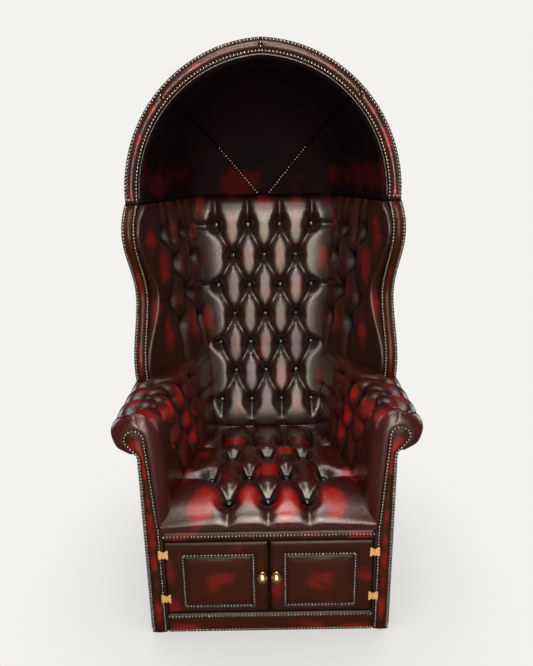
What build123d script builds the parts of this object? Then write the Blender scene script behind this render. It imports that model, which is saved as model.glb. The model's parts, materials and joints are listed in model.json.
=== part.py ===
from build123d import *
import math
import os

os.makedirs("parts", exist_ok=True)

# Hall porter chair. Millimetres, +Z up, the chair faces -Y and its left side is at -X.
# The origin lies on the floor, under the middle of the whole chair with its door knobs.

# Heights above the floor
plinth_height = 70
rail_bottom = 320
rail_top = 365
deck_top = 345
arm_underside = 590
arm_top = 707
wing_foot = 670
wing_pad_foot = 690
spring_height = 1243

# Depths measured back from the front face
body_depth = 762
knob_reach = 28
rim_depth = 306
wing_foot_depth = 292
wing_belly_depth = 277
wing_waist_depth = 335
wing_shoulder_depth = 255
wing_belly_height = 800
wing_waist_height = 975
wing_shoulder_height = 1150
side_end_depth = 700
back_frame_depth = 640
lining_depth = 585

# Half widths
base_half = 355
wing_half = 400
corner_radius = 60
rear_split = 250

# Leather, boards and posts
skin = 4
facing_thick = 8
side_board = 18
post_width = 45
post_depth = 50
wing_board = 20
back_board = 25
rear_post_thick = 22
frame_post = 45
frame_rail = 45
deck_thick = 15
floor_lift = 12
floor_thick = 18
cupboard_back_thick = 9
cut_over = 60

# Doors
door_gap = 3
door_clear = 2
door_board_thick = 16
door_skin = 8
field_rise = 5
field_inner = 46
field_outer = 250
field_low = 95
field_high = 272
field_draft = 14
knob_place = 20.5
knob_height = 203
knob_radius = 15.5
knob_neck = 5
knob_plate = 11
knob_plate_thick = 2
knob_brow_share = 0.38
stop_length = 200
stop_drop = 20
stop_thick = 12

# Butterfly hinges
hinge_heights = (124, 277)
hinge_tall = 32
hinge_wing = 16
hinge_lobe_shares = ((0, 0.5), (0.35, 0.7), (0.68, 1), (1, 0.7), (0.86, 0.34), (1.03, 0))
hinge_plate = 1.6
knuckle_radius = 2.6
pin_radius = 1.2
pin_play = 0.08
knuckle_long = 10
knuckle_gap = 0.4

# Arms
arm_lead = 8
arm_radius = 55
arm_centre = 365
arm_inner_foot = 300
arm_mid_depth = 330
arm_mid_centre = 360
arm_end_depth = 690
arm_end_centre = 335
arm_end_radius = 50
arm_end_foot = 160
arm_end_inner = 184
arm_nose = 16
scroll_radius = 30
scroll_centre = 361
scroll_height = 645

# Wings and hood
facing_band = 40
facing_depth = 14
wing_pad_front = 362
wing_pad_front_foot = 374
wing_pad_rear_foot = 205
wing_pad_rear_top = 243
wing_pad_set = 3
wing_window = 70
arch_radius = 420
arch_offset = 20
arch_lift = 15
hood_skin = 5
rim_crown = 12
rim_band = 40
hoop_band = 45
hoop_depth = 27
lining_thick = 12
pole_radius = 4
rib_half = 9
rib_deep = 28
rib_clear = 4
crown_block_radius = 60

# Seat and back upholstery
seat_front = 4
seat_lip = 14
seat_nose = 46
seat_belly = 392
seat_shoulder = 436
seat_crown = 452
seat_crown_depth = 215
seat_rear = 396
seat_side_drop = 20
back_foot_depth = 492
back_bend = 600
back_bend_depth = 560
back_mid = 900
back_mid_depth = 578
back_half = 260

# Buttons and tufting
button_radius = 9.5
button_rise = 5
button_sides = 7
dimple_radius = 21
dimple_depth = 13
fold_half = 15
arm_fold_half = 8
fold_depth = 7
back_row_pitch = 103.8
back_top_row = 1142
back_column_pitch = 108
seat_pitch = 116
seat_row_depths = (60, 163, 280, 372)
seat_column_shares = ((-1, 0, 1), (-1.5, -0.5, 0.5, 1.5), (-1, 0, 1), (-1.4, -0.5, 0.5, 1.4))
wing_column_depths = (372, 430, 488, 546)
arm_crest_depths = (66, 156, 246)
arm_shoulder_depths = (111, 201)
arm_row_depths = (152, 242, 332)
arm_low_depths = (197, 287, 377)
arm_shoulder_height = 672
arm_crest_out = 9
arm_row_height = 580
arm_low_height = 500
arm_reach = 118

front_y = knob_reach - (body_depth + knob_reach) / 2
back_y = front_y + body_depth


def deep(depth):
    return front_y + depth


def block(x0, x1, d0, d1, z0, z1):
    return Pos((x0 + x1) / 2, deep((d0 + d1) / 2), (z0 + z1) / 2) * Box(x1 - x0, d1 - d0, z1 - z0)


def other_side(shape):
    return mirror(shape, about=Plane.YZ)


def save(name, shape):
    export_step(shape, "parts/" + name + ".step")


def save_pair(name, shape):
    save("right_" + name, shape)
    save("left_" + name, other_side(shape))


# Plan of the outer walls

def wall_half(depth):
    return wing_half - (depth - rim_depth) * (wing_half - base_half) / (side_end_depth - rim_depth)


def base_plan(inset):
    outline = Polyline(
        (0, deep(facing_thick)),
        (base_half - inset, deep(facing_thick)),
        (base_half - inset, back_y - inset),
        (0, back_y - inset),
        close=True,
    )
    plan = make_face(outline)
    corner = plan.vertices().sort_by(Axis.Y)[-2:].sort_by(Axis.X)[-1]
    return fillet(corner, corner_radius - inset)


def wing_plan(inset):
    lead = wing_shoulder_depth - facing_depth
    outline = Polyline(
        (0, deep(lead)),
        (wall_half(lead) - inset, deep(lead)),
        (wall_half(side_end_depth) - inset, deep(side_end_depth)),
        (wall_half(side_end_depth) - inset, back_y - inset),
        (0, back_y - inset),
        close=True,
    )
    plan = make_face(outline)
    corner = plan.vertices().sort_by(Axis.Y)[-2:].sort_by(Axis.X)[-1]
    return fillet(corner, corner_radius - inset)


def raised(plan, z0, z1):
    return extrude(Pos(0, 0, z0) * plan, z1 - z0)


def edge_curve(shift):
    return Spline(
        (deep(wing_foot_depth + shift), wing_foot),
        (deep(wing_belly_depth + shift), wing_belly_height),
        (deep(wing_waist_depth + shift), wing_waist_height),
        (deep(wing_shoulder_depth + shift), wing_shoulder_height),
        (deep(rim_depth + shift), spring_height),
    )


def side_region(shift, end_depth):
    front = edge_curve(shift)
    lines = front + Polyline(
        front @ 1, (deep(end_depth), spring_height), (deep(end_depth), wing_foot), front @ 0
    )
    return extrude(Plane.YZ * make_face(lines), wing_half + cut_over)


# Tufting cutters

def fold(start, end, normal, half=fold_half):
    a = Vector(*start)
    run = Vector(*end) - a
    plane = Plane(origin=a, x_dir=run.cross(normal), z_dir=run)
    flip = 1 if plane.y_dir.dot(normal) > 0 else -1
    top = dimple_depth * flip
    wide = half * (1 + dimple_depth / fold_depth)
    shape = Polyline((0, -fold_depth * flip), (wide, top), (-wide, top), close=True)
    return extrude(plane * make_face(shape), run.length)


def tapered(place, normal, low_radius, high_radius, tall):
    low = RegularPolygon(low_radius, button_sides)
    high = Pos(0, 0, tall) * RegularPolygon(high_radius, button_sides)
    return Plane(origin=place, z_dir=normal) * loft([low, high], ruled=True)


def dimple(place, normal):
    deepest = Vector(*place) - normal * dimple_depth
    wide = button_radius + (dimple_radius - button_radius) * 2
    return tapered(deepest, normal, button_radius, wide, dimple_depth * 2)


def button(place, normal):
    foot = Vector(*place) - normal * dimple_depth
    return tapered(foot, normal, button_radius, button_radius - button_rise, button_rise)


# Base carcass

def front_post():
    outer = base_half - skin
    return block(outer - post_width, outer, facing_thick, facing_thick + post_depth, 0, arm_underside)


def base_side():
    outer = base_half - skin
    start = facing_thick + post_depth
    return block(outer - side_board, outer, start, side_end_depth, 0, arm_underside)


def rear_post():
    ring = raised(wing_plan(skin) - wing_plan(skin + rear_post_thick), 0, spring_height)
    return ring & block(rear_split, wing_half, side_end_depth, body_depth, 0, spring_height)


inner_post = base_half - skin - post_width
inner_side = base_half - skin - side_board
rail_end = facing_thick + post_depth / 2


def seat_rail():
    return block(-inner_post, inner_post, facing_thick, rail_end, rail_bottom, deck_top)


def rail_facing():
    return block(-inner_post, inner_post, 0, facing_thick, rail_bottom, deck_top + fold_depth)


def plinth():
    return block(-inner_post, inner_post, facing_thick, rail_end, 0, plinth_height)


def plinth_facing():
    return block(-inner_post, inner_post, 0, facing_thick, 0, plinth_height)


def cupboard_floor():
    start = facing_thick + post_depth
    end = body_depth - skin - rear_post_thick
    boards = block(-inner_side, inner_side, start, end, floor_lift, floor_lift + floor_thick)
    return boards - [rear_post(), other_side(rear_post())]


def cupboard_back():
    start = side_end_depth - cupboard_back_thick
    return block(-inner_side, inner_side, start, side_end_depth, floor_lift + floor_thick, deck_top - deck_thick)


def seat_deck():
    start = facing_thick + post_depth
    return block(-inner_side, inner_side, start, back_frame_depth, deck_top - deck_thick, deck_top)


def rear_rails():
    outer = rear_split
    front = body_depth - skin - rear_post_thick
    back = body_depth - skin
    rails = [
        block(-outer, outer, front, back, low, low + frame_rail)
        for low in (0, arm_underside, spring_height - frame_rail)
    ]
    stile = block(-frame_rail / 2, frame_rail / 2, front, back, 0, spring_height)
    return fuse(rails + [stile])


def fuse(shapes):
    whole = shapes[0]
    return whole.fuse(*shapes[1:]).clean() if len(shapes) > 1 else whole


# Arms

def arm_section(depth, foot, inner, centre, radius):
    outer = base_half - skin
    height = arm_top - radius
    underside = height - math.sqrt(radius**2 - (outer - centre) ** 2)
    top_left = inner + radius
    half = math.sqrt(0.5)
    corner_in = (top_left - radius * half, height + radius * half)
    corner_out = (centre + radius * half, height + radius * half)
    turn = (outer + centre + radius) / 2
    below = (turn, height - math.sqrt(radius**2 - (turn - centre) ** 2))
    crest = max(centre, top_left + door_clear)
    lines = Curve() + [
        Line((foot, deck_top), (inner, height)),
        ThreePointArc((inner, height), corner_in, (top_left, arm_top)),
        Line((top_left, arm_top), (crest, arm_top)),
        ThreePointArc((crest, arm_top), corner_out, (centre + radius, height)),
        ThreePointArc((centre + radius, height), below, (outer, underside)),
        Polyline(
            (outer, underside),
            (outer, arm_underside),
            (outer - side_board, arm_underside),
            (outer - side_board, deck_top),
            (foot, deck_top),
        ),
    ]
    plane = Plane(origin=(0, deep(depth), 0), x_dir=(1, 0, 0), z_dir=(0, -1, 0))
    return plane * make_face(lines)


def arm_blank():
    lead_inner = arm_centre - arm_radius - door_clear
    reach = arm_end_depth - arm_lead
    part = (arm_mid_depth - arm_lead) / reach
    mid_foot = arm_inner_foot + (arm_end_foot - arm_inner_foot) * part
    mid_inner = lead_inner + (arm_end_inner - lead_inner) * part
    front = arm_section(arm_lead, arm_inner_foot, lead_inner, arm_centre, arm_radius)
    middle = arm_section(arm_mid_depth, mid_foot, mid_inner, arm_mid_centre, arm_radius)
    rear = arm_section(arm_end_depth, arm_end_foot, arm_end_inner, arm_end_centre, arm_end_radius)
    arm = loft([front, middle], ruled=True) + loft([middle, rear], ruled=True)
    nose = [e for e in arm.edges() if abs(e.center().Y - deep(arm_lead)) < door_clear
            and (e.center().Z > arm_underside + skin or e.center().X < inner_post - door_gap)
            and e.center().Z > deck_top + skin]
    arm = fillet(nose, arm_nose)
    behind = block(0, arm_inner_foot, back_frame_depth, side_end_depth, 0, spring_height)
    return arm - behind - front_post()


def arm_facing():
    outer = base_half - skin
    inner = inner_post + door_clear
    plane = Plane(origin=(0, deep(0), 0), x_dir=(1, 0, 0), z_dir=(0, -1, 0))
    stile = Polyline(
        (inner, 0),
        (outer + skin, 0),
        (outer + skin, arm_underside),
        (scroll_centre, scroll_height),
        (scroll_centre - scroll_radius, scroll_height),
        (inner, rail_top),
        close=True,
    )
    shape = make_face(stile) + Pos(scroll_centre, scroll_height) * Circle(scroll_radius)
    return extrude(plane * shape, -facing_thick)


def side_cover(arm):
    strip = raised(base_plan(0) - base_plan(skin), 0, wing_foot)
    strip = strip & block(rear_split, base_half, facing_thick, body_depth, 0, wing_foot)
    return strip - arm


# Wings

def wing_strip(inset0, inset1, start, end, region, foot):
    strip = raised(wing_plan(inset0) - wing_plan(inset1), foot, spring_height)
    keep = block(rear_split, wing_half * 2, start, end, foot, spring_height)
    return (strip & keep) & region


def wing_cover(arm):
    region = side_region(facing_depth, body_depth)
    return wing_strip(0, skin, wing_shoulder_depth, body_depth, region, wing_foot) - arm


def wing_facing(arm):
    region = side_region(0, body_depth) - side_region(facing_depth, body_depth)
    strip = wing_strip(0, facing_band, wing_shoulder_depth - facing_depth, body_depth, region, wing_foot)
    return strip - arm


def wing_frame(arm):
    whole = side_region(facing_depth, side_end_depth)
    strip = wing_strip(skin, skin + wing_board, wing_shoulder_depth, side_end_depth, whole, wing_foot)
    middle = side_region(facing_depth + wing_window, side_end_depth - wing_window)
    heights = block(0, wing_half * 2, 0, body_depth, arm_top + frame_rail, spring_height - frame_rail)
    return strip - (middle & heights) - arm


def wing_blank():
    inset = skin + wing_board
    rear_half = wall_half(back_frame_depth) - inset

    def pad_plan(z, front_half, front_depth, back_half, back_depth):
        outline = Polyline(
            (front_half, deep(front_depth)),
            (wall_half(front_depth) - inset, deep(front_depth)),
            (rear_half, deep(back_frame_depth)),
            (back_half, deep(back_frame_depth)),
            (back_half, deep(back_depth)),
            close=True,
        )
        return Pos(0, 0, z) * make_face(outline)

    foot = pad_plan(wing_pad_foot, wing_pad_front_foot, wing_shoulder_depth, wing_pad_rear_foot, back_mid_depth)
    top = pad_plan(spring_height, wing_pad_front, wing_shoulder_depth, wing_pad_rear_top, lining_depth)
    return loft([foot, top], ruled=True) & side_region(wing_pad_set, body_depth)


# Seat and back

def seat_section(share_out):
    drop = seat_side_drop * share_out**2
    x = base_half * share_out
    plane = Plane(origin=(x, 0, 0), x_dir=(0, 1, 0), z_dir=(1, 0, 0))
    lines = Curve() + [
        Line((deep(back_frame_depth), deck_top), (deep(seat_lip), deck_top)),
        ThreePointArc(
            (deep(seat_lip), deck_top), (deep(seat_front), seat_belly - drop), (deep(seat_nose), seat_shoulder - drop)
        ),
        ThreePointArc(
            (deep(seat_nose), seat_shoulder - drop),
            (deep(seat_crown_depth), seat_crown - drop),
            (deep(back_frame_depth), seat_rear - drop),
        ),
        Line((deep(back_frame_depth), seat_rear - drop), (deep(back_frame_depth), deck_top)),
    ]
    return plane * make_face(lines)


def seat_blank(arm, back):
    section_shares = (-1, -0.5, 0, 0.5, 1)
    pad = loft([seat_section(part) for part in section_shares], ruled=True)
    pad = pad & block(-inner_post, inner_post, 0, body_depth, 0, spring_height)
    return pad - [arm, other_side(arm), back]


def back_surface():
    return [
        (back_foot_depth, deck_top),
        (back_bend_depth, back_bend),
        (back_mid_depth, back_mid),
        (lining_depth, spring_height),
    ]


def back_depth_at(z):
    points = back_surface()
    for (d0, z0), (d1, z1) in zip(points, points[1:]):
        if z <= z1:
            return d0 + (d1 - d0) * (z - z0) / (z1 - z0)
    return points[-1][0]


def back_normal(z):
    points = back_surface()
    for (d0, z0), (d1, z1) in zip(points, points[1:]):
        if z <= z1:
            return Vector(0, z0 - z1, d1 - d0).normalized()
    return Vector(0, -1, 0)


def back_blank():
    face = [(deep(d), z) for d, z in back_surface()]
    outline = Polyline(*face, (deep(back_frame_depth), spring_height), (deep(back_frame_depth), deck_top), close=True)
    return extrude(Plane.YZ * make_face(outline), back_half, both=True)


def back_frame():
    outer = arm_inner_foot
    start = back_frame_depth
    end = back_frame_depth + back_board
    posts = [
        block(side * outer - (side + 1) / 2 * frame_post, side * outer - (side - 1) / 2 * frame_post,
              start, end, deck_top, spring_height)
        for side in (-1, 1)
    ]
    rails = [
        block(-outer, outer, start, end, low, low + frame_rail)
        for low in (deck_top, arm_underside, spring_height - frame_rail)
    ]
    wide = wing_half
    crown_rail = block(-wide, wide, start, end, spring_height - frame_rail, spring_height)
    inside = raised(wing_plan(skin + wing_board), 0, spring_height)
    crown_rail = crown_rail & (inside + other_side(inside))
    return fuse(posts + rails + [crown_rail])


# Hood

def arch_reach(angle):
    toward = arch_offset * math.cos(angle) - arch_lift * math.sin(angle)
    return math.sqrt(toward**2 + arch_radius**2 - arch_offset**2 - arch_lift**2) - toward


def arch_face(inset):
    axis = spring_height + arch_lift
    plane = Plane(origin=(0, deep(rim_depth), 0), x_dir=(1, 0, 0), z_dir=(0, -1, 0))
    half = Pos(-arch_offset, axis) * Circle(arch_radius - inset)
    tall = arch_radius * 2
    half = half & Pos(tall / 2, spring_height + tall / 2) * Rectangle(tall, tall)
    return plane * half


def hood_path(angle, inset, start, end, corner, bend):
    out = arch_reach(angle) - inset
    corner_out = arch_reach(angle) * corner - inset
    return FilletPolyline(
        (out, deep(start)), (corner_out, deep(end)), (pole_radius, deep(end)), radius=bend
    )


def hood_section(angle, outer, thick, start, end, corner, bend):
    plane = Plane(
        origin=(0, 0, spring_height),
        x_dir=(math.cos(angle), 0, math.sin(angle)),
        z_dir=(-math.sin(angle), 0, math.cos(angle)),
    )
    far = hood_path(angle, outer, start, end, corner, bend)
    near = hood_path(angle, outer + thick, start, end - thick, corner, bend - thick)
    ends = [Line(near @ 0, far @ 0), Line(near @ 1, far @ 1)]
    return plane * make_face(Curve() + [far, near] + ends)


cover_stations = 8
cover_corner_shares = (0.888, 0.9, 0.912, 0.918, 0.92)
cover_bend_shares = (0.1316, 0.3, 0.48, 0.66, 0.76)
lining_corner_shares = (0.72, 0.775, 0.82, 0.85, 0.86)
lining_bend_shares = (0.18, 0.4, 0.6, 0.75, 0.8)


def station_angle(index):
    return math.pi * index / cover_stations


def cover_section(index):
    mirrored = min(index, cover_stations - index)
    start = rim_depth + rim_crown
    bend = cover_bend_shares[mirrored] * (body_depth - rim_depth)
    corner = cover_corner_shares[mirrored]
    return hood_section(station_angle(index), 0, hood_skin, start, body_depth, corner, bend)


def lining_section(index):
    mirrored = min(index, cover_stations - index)
    end = lining_depth + lining_thick
    bend = lining_bend_shares[mirrored] * (lining_depth - rim_depth)
    corner = lining_corner_shares[mirrored]
    return hood_section(station_angle(index), hoop_band, lining_thick, rim_depth + skin, end, corner, bend)


def hood_panel(section, first, last):
    return loft([section(index) for index in range(first, last + 1)])


def hoop(covers):
    ring = arch_face(hood_skin) - arch_face(hoop_band)
    whole = extrude(ring, hoop_depth, dir=(0, 1, 0))
    whole = Pos(0, rim_crown, 0) * whole - covers
    return whole + other_side(whole)


def rim_pad(first_share, last_share):
    axis = spring_height + arch_lift
    low = -math.asin(arch_lift / arch_radius)
    high = math.acos(arch_offset / (arch_radius - rim_band))
    start = low + (high - low) * first_share
    end = low + (high - low) * last_share
    middle = arch_radius - rim_band / 2
    section = Curve() + [
        Line((arch_radius, 0), (arch_radius - rim_band, 0)),
        ThreePointArc((arch_radius - rim_band, 0), (middle, rim_crown), (arch_radius, 0)),
    ]
    turned = Plane(
        origin=(0, 0, 0),
        x_dir=(math.cos(start), 0, math.sin(start)),
        z_dir=(-math.sin(start), 0, math.cos(start)),
    )
    face = turned * mirror(make_face(section), about=Plane.XZ)
    swept = revolve(face, axis=Axis((0, 0, 0), (0, -1, 0)), revolution_arc=math.degrees(end - start))
    placed = Pos(-arch_offset, deep(rim_depth + rim_crown), axis) * swept
    return placed & block(0, arch_radius * 2, 0, body_depth, spring_height, spring_height + arch_radius * 2)


def rib(index, covers):
    mirrored = min(index, cover_stations - index)
    inset = hood_skin + rib_clear
    start = rim_depth + rim_crown + hoop_depth
    bend = cover_bend_shares[mirrored] * (body_depth - rim_depth) - inset
    corner = cover_corner_shares[mirrored]
    face = hood_section(station_angle(index), inset, rib_deep, start, body_depth - inset, corner, bend)
    strip = extrude(face, rib_half, both=True)
    post = Pos(0, back_y, spring_height) * Rot(90, 0, 0) * Cylinder(crown_block_radius, body_depth)
    return strip - ([post] + covers)


def crown_block():
    end = body_depth - hood_skin
    start = body_depth - skin - rear_post_thick
    disc = Pos(0, deep((start + end) / 2), spring_height) * Rot(90, 0, 0)
    disc = disc * Cylinder(crown_block_radius, end - start)
    above = block(-crown_block_radius, crown_block_radius, 0, body_depth, spring_height,
                  spring_height + crown_block_radius)
    return disc & above


# Doors and their fittings

door_foot = plinth_height + door_clear
door_head = rail_bottom - door_clear
door_edge = inner_post - door_gap
door_inner = door_gap / 2
hinge_line = (inner_post + door_edge) / 2
hinge_out = knuckle_radius - hinge_plate


def door_board():
    return block(door_inner, door_edge, door_skin, door_skin + door_board_thick, door_foot, door_head)


def front_plane(depth):
    return Plane(origin=(0, deep(depth), 0), x_dir=(1, 0, 0), z_dir=(0, -1, 0))


def door_panel():
    leather = block(door_inner, door_edge, 0, door_skin, door_foot, door_head)
    place = Pos((field_inner + field_outer) / 2, (field_low + field_high) / 2)
    wide = field_outer - field_inner
    tall = field_high - field_low
    low = front_plane(0) * place * Rectangle(wide, tall)
    high = front_plane(-field_rise) * place * Rectangle(wide - field_draft * 2, tall - field_draft * 2)
    return leather + loft([low, high], ruled=True)


def knob():
    neck_end = knob_reach - knob_radius
    brow = knob_radius * knob_brow_share
    outline = Polyline(
        (0, 0),
        (knob_plate, 0),
        (knob_plate, knob_plate_thick),
        (knob_neck, knob_plate_thick * 2),
        (knob_neck, neck_end),
        (knob_radius, neck_end + brow),
        (knob_radius, knob_reach - brow),
        (brow, knob_reach),
        (0, knob_reach),
        close=True,
    )
    turned = revolve(make_face(outline), axis=Axis.Y)
    return Pos(knob_place, deep(0), knob_height) * Rot(180, 0, 0) * turned


def hinge_leaf(side, height):
    upper = [(side * hinge_wing * out, hinge_tall / 2 * up) for out, up in hinge_lobe_shares]
    lower = [(x, -z) for x, z in reversed(upper[:-1])]
    shape = Polyline(*upper, *lower, close=True)
    plane = Plane(origin=(hinge_line, deep(0), height), x_dir=(1, 0, 0), z_dir=(0, -1, 0))
    return extrude(plane * make_face(shape), hinge_plate)


def barrel(height, low, high, radius):
    place = Pos(hinge_line, deep(-knuckle_radius), height + (low + high) / 2)
    return place * Cylinder(radius, high - low)


def hinge_parts(height):
    half = knuckle_long / 2
    outer = half + knuckle_gap + knuckle_long / 2
    bore = barrel(height, -outer, outer, pin_radius + pin_play)
    clear_middle = barrel(height, -half - knuckle_gap, half + knuckle_gap, knuckle_radius + knuckle_gap)
    clear_ends = barrel(height, half, outer + knuckle_gap, knuckle_radius + knuckle_gap)
    clear_ends += barrel(height, -outer - knuckle_gap, -half, knuckle_radius + knuckle_gap)
    low = barrel(height, -outer, -half - knuckle_gap, knuckle_radius)
    high = barrel(height, half + knuckle_gap, outer, knuckle_radius)
    pin = barrel(height, -half - knuckle_gap, half + knuckle_gap, pin_radius)
    fixed = (hinge_leaf(1, height) - clear_middle) + low + high + pin
    moving = (hinge_leaf(-1, height) - clear_ends) + barrel(height, -half, half, knuckle_radius) - bore
    return fixed, moving


def door_stop():
    start = door_skin + door_board_thick + knuckle_gap
    bar = block(-stop_length / 2, stop_length / 2, start, start + stop_thick, rail_bottom - stop_drop, rail_bottom)
    return bar


# Tufted surfaces

def surface_point(blank, origin, direction):
    hits = blank.find_intersection_points(Axis(origin, direction))
    hits = sorted(hits, key=lambda hit: (hit[0] - Vector(*origin)).dot(Vector(*direction)))
    return hits[0]


def tufted(blank, places, links, half=fold_half):
    cutters = [dimple(point, normal) for point, normal in places]
    for start, end, normal in links:
        cutters.append(fold(start, end, normal, half))
    cut = blank - cutters
    return cut.solids().sort_by(SortBy.VOLUME)[-1]


def back_rows():
    rows = []
    for index in range(7):
        z = back_top_row - back_row_pitch * index
        count = 4 if index % 2 == 0 else 3
        row = [back_column_pitch * (place - (count - 1) / 2) for place in range(count)]
        rows.append([Vector(x, deep(back_depth_at(z)), z) for x in row])
    return rows


def back_tufting():
    rows = back_rows()
    places = [(point, back_normal(point.Z)) for row in rows for point in row]
    links = []
    for upper, lower in zip(rows, rows[1:]):
        for a in upper:
            for b in lower:
                if abs(a.X - b.X) < back_column_pitch:
                    links.append((a, b, back_normal((a.Z + b.Z) / 2)))
    for a in rows[0]:
        links.append((a, Vector(a.X, deep(lining_depth), spring_height + button_radius), back_normal(a.Z)))
    for row in rows[0::2]:
        for a in (row[0], row[-1]):
            side = math.copysign(base_half, a.X)
            links.append((a, Vector(side, a.Y, a.Z), back_normal(a.Z)))
    return places, links


def linked(near, far, reach, normal=None):
    links = []
    for a, side_a in near:
        for b, side_b in far:
            if (a - b).length < reach:
                links.append((a, b, normal or (side_a + side_b).normalized()))
    return links


def seat_tufting(blank):
    up = Vector(0, 0, 1)
    rows = []
    for depth, column_shares in zip(seat_row_depths, seat_column_shares):
        row = []
        for column in column_shares:
            hit = surface_point(blank, (column * seat_pitch, deep(depth), arm_top), (0, 0, -1))
            row.append((hit[0], up))
        rows.append(row)
    places = [place for row in rows for place in row]
    links = []
    for near, far in zip(rows, rows[1:]):
        links += linked(near, far, seat_pitch * 1.3)
    for point, normal in rows[0]:
        nose = Vector(point.X, deep(seat_front + seat_lip / 2), (seat_belly + seat_shoulder) / 2)
        links.append((point, nose, Vector(0, -1, 1)))
    for point, normal in (rows[1][0], rows[1][-1]):
        links.append((point, Vector(math.copysign(base_half, point.X), point.Y, point.Z), up))
    return places, links


def wing_tufting(blank):
    rows = []
    for index, start in enumerate((0, 1, 0, 1)):
        z = back_top_row - back_row_pitch * index
        row = []
        for depth in wing_column_depths[start::2]:
            row.append(surface_point(blank, (0, deep(depth), z), (1, 0, 0)))
        rows.append(row)
    places = [place for row in rows for place in row]
    links = []
    for near, far in zip(rows, rows[1:]):
        links += linked(near, far, back_row_pitch * 1.3)
    for point, normal in (rows[0][0], rows[2][0]):
        border = surface_point(blank, (0, deep(wing_waist_depth + facing_depth), point.Z), (1, 0, 0))
        links.append((point, border[0], border[1]))
    return places, links


def arm_tufting(blank):
    half = math.sqrt(0.5)
    out = arm_centre + arm_crest_out
    crest = [surface_point(blank, (out, deep(d), spring_height), (0, 0, -1)) for d in arm_crest_depths]
    shoulder = []
    for depth in arm_shoulder_depths:
        shoulder.append(surface_point(blank, (0, deep(depth), arm_shoulder_height), (1, 0, 0)))
    middle = [surface_point(blank, (0, deep(d), arm_row_height), (1, 0, 0)) for d in arm_row_depths]
    lower = [surface_point(blank, (0, deep(d), arm_low_height), (1, 0, 0)) for d in arm_low_depths]
    places = crest + shoulder + middle + lower
    links = linked(crest, shoulder, arm_reach, Vector(-half, 0, half))
    links += linked(shoulder, middle, arm_reach)
    links += linked(middle, lower, arm_reach)
    return places, links


# Assembly

plain_arm = arm_blank()
back_pad_blank = back_blank()
wing_pad_blank = wing_blank() - plain_arm
frame_of_back = back_frame()
wing_pad_plain = wing_pad_blank - [frame_of_back, wing_facing(plain_arm)]
seat_plain = seat_blank(plain_arm, back_pad_blank)
sides = [plain_arm, other_side(plain_arm), wing_pad_blank, other_side(wing_pad_blank)]
back_plain = back_pad_blank - sides

back_places, back_links = back_tufting()
seat_places, seat_links = seat_tufting(seat_plain)
wing_places, wing_links = wing_tufting(wing_pad_plain)
arm_places, arm_links = arm_tufting(plain_arm)
low_cover = hood_panel(cover_section, 0, 2)
high_cover = hood_panel(cover_section, 2, 4)
covers = [low_cover, high_cover]
facing_of_wing = wing_facing(plain_arm)
side_rib = rib(2, covers)
side_buttons = [button(*place) for place in wing_places + arm_places]

save_pair("front_post", front_post())
save_pair("base_side", base_side())
save_pair("rear_post", rear_post())
save_pair("side_cover", side_cover(plain_arm))
save("seat_rail", seat_rail())
save("seat_rail_facing", rail_facing())
save("plinth_rail", plinth())
save("plinth_facing", plinth_facing())
save("cupboard_floor", cupboard_floor())
save("cupboard_back", cupboard_back())
save("seat_deck", seat_deck())
save("rear_rails", rear_rails())
save("back_frame", frame_of_back)
save("back_cover", block(-rear_split, rear_split, body_depth - skin, body_depth, 0, spring_height))

save_pair("arm_pad", tufted(plain_arm, arm_places, arm_links, arm_fold_half))
save_pair("arm_facing", arm_facing())
save_pair("wing_frame", wing_frame(plain_arm))
save_pair("wing_cover", wing_cover(plain_arm))
save_pair("wing_facing", facing_of_wing)
save_pair("wing_pad", tufted(wing_pad_plain, wing_places, wing_links))

save("seat_pad", tufted(seat_plain, seat_places, seat_links))
save("back_pad", tufted(back_plain, back_places, back_links))
save("back_buttons", Compound(children=[button(*place) for place in back_places]))
save("seat_buttons", Compound(children=[button(*place) for place in seat_places]))
save("side_buttons", Compound(children=side_buttons + [other_side(each) for each in side_buttons]))

save("hood_hoop", hoop(covers))
save("right_rim_low", rim_pad(0, 0.5))
save("right_rim_high", rim_pad(0.5, 1))
save("left_rim_low", other_side(rim_pad(0, 0.5)))
save("left_rim_high", other_side(rim_pad(0.5, 1)))
save("hood_cover_right_low", low_cover)
save("hood_cover_right_high", high_cover)
save("hood_cover_left_high", other_side(high_cover))
save("hood_cover_left_low", other_side(low_cover))
save("hood_lining_right", hood_panel(lining_section, 0, 2))
save("hood_lining_left", other_side(hood_panel(lining_section, 0, 2)))
right_half_lining = hood_panel(lining_section, 2, 4)
save("hood_lining_middle", right_half_lining + other_side(right_half_lining))
save("hood_ribs", Compound(children=[side_rib, rib(4, covers + [other_side(high_cover)]), other_side(side_rib)]))
save("crown_block", crown_block())

save_pair("door_board", door_board())
save_pair("door_panel", door_panel())
save_pair("door_knob", knob())
fixed_leaves = []
moving_leaves = []
for hinge_height in hinge_heights:
    fixed_leaf, moving_leaf = hinge_parts(hinge_height)
    fixed_leaves.append(fixed_leaf)
    moving_leaves.append(moving_leaf)
save_pair("frame_hinge_leaves", Compound(children=fixed_leaves))
save_pair("door_hinge_leaves", Compound(children=moving_leaves))
save("door_stop", door_stop())
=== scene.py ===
import json
import math
import bpy
import bmesh
import numpy as np
from mathutils import Matrix, Vector


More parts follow.
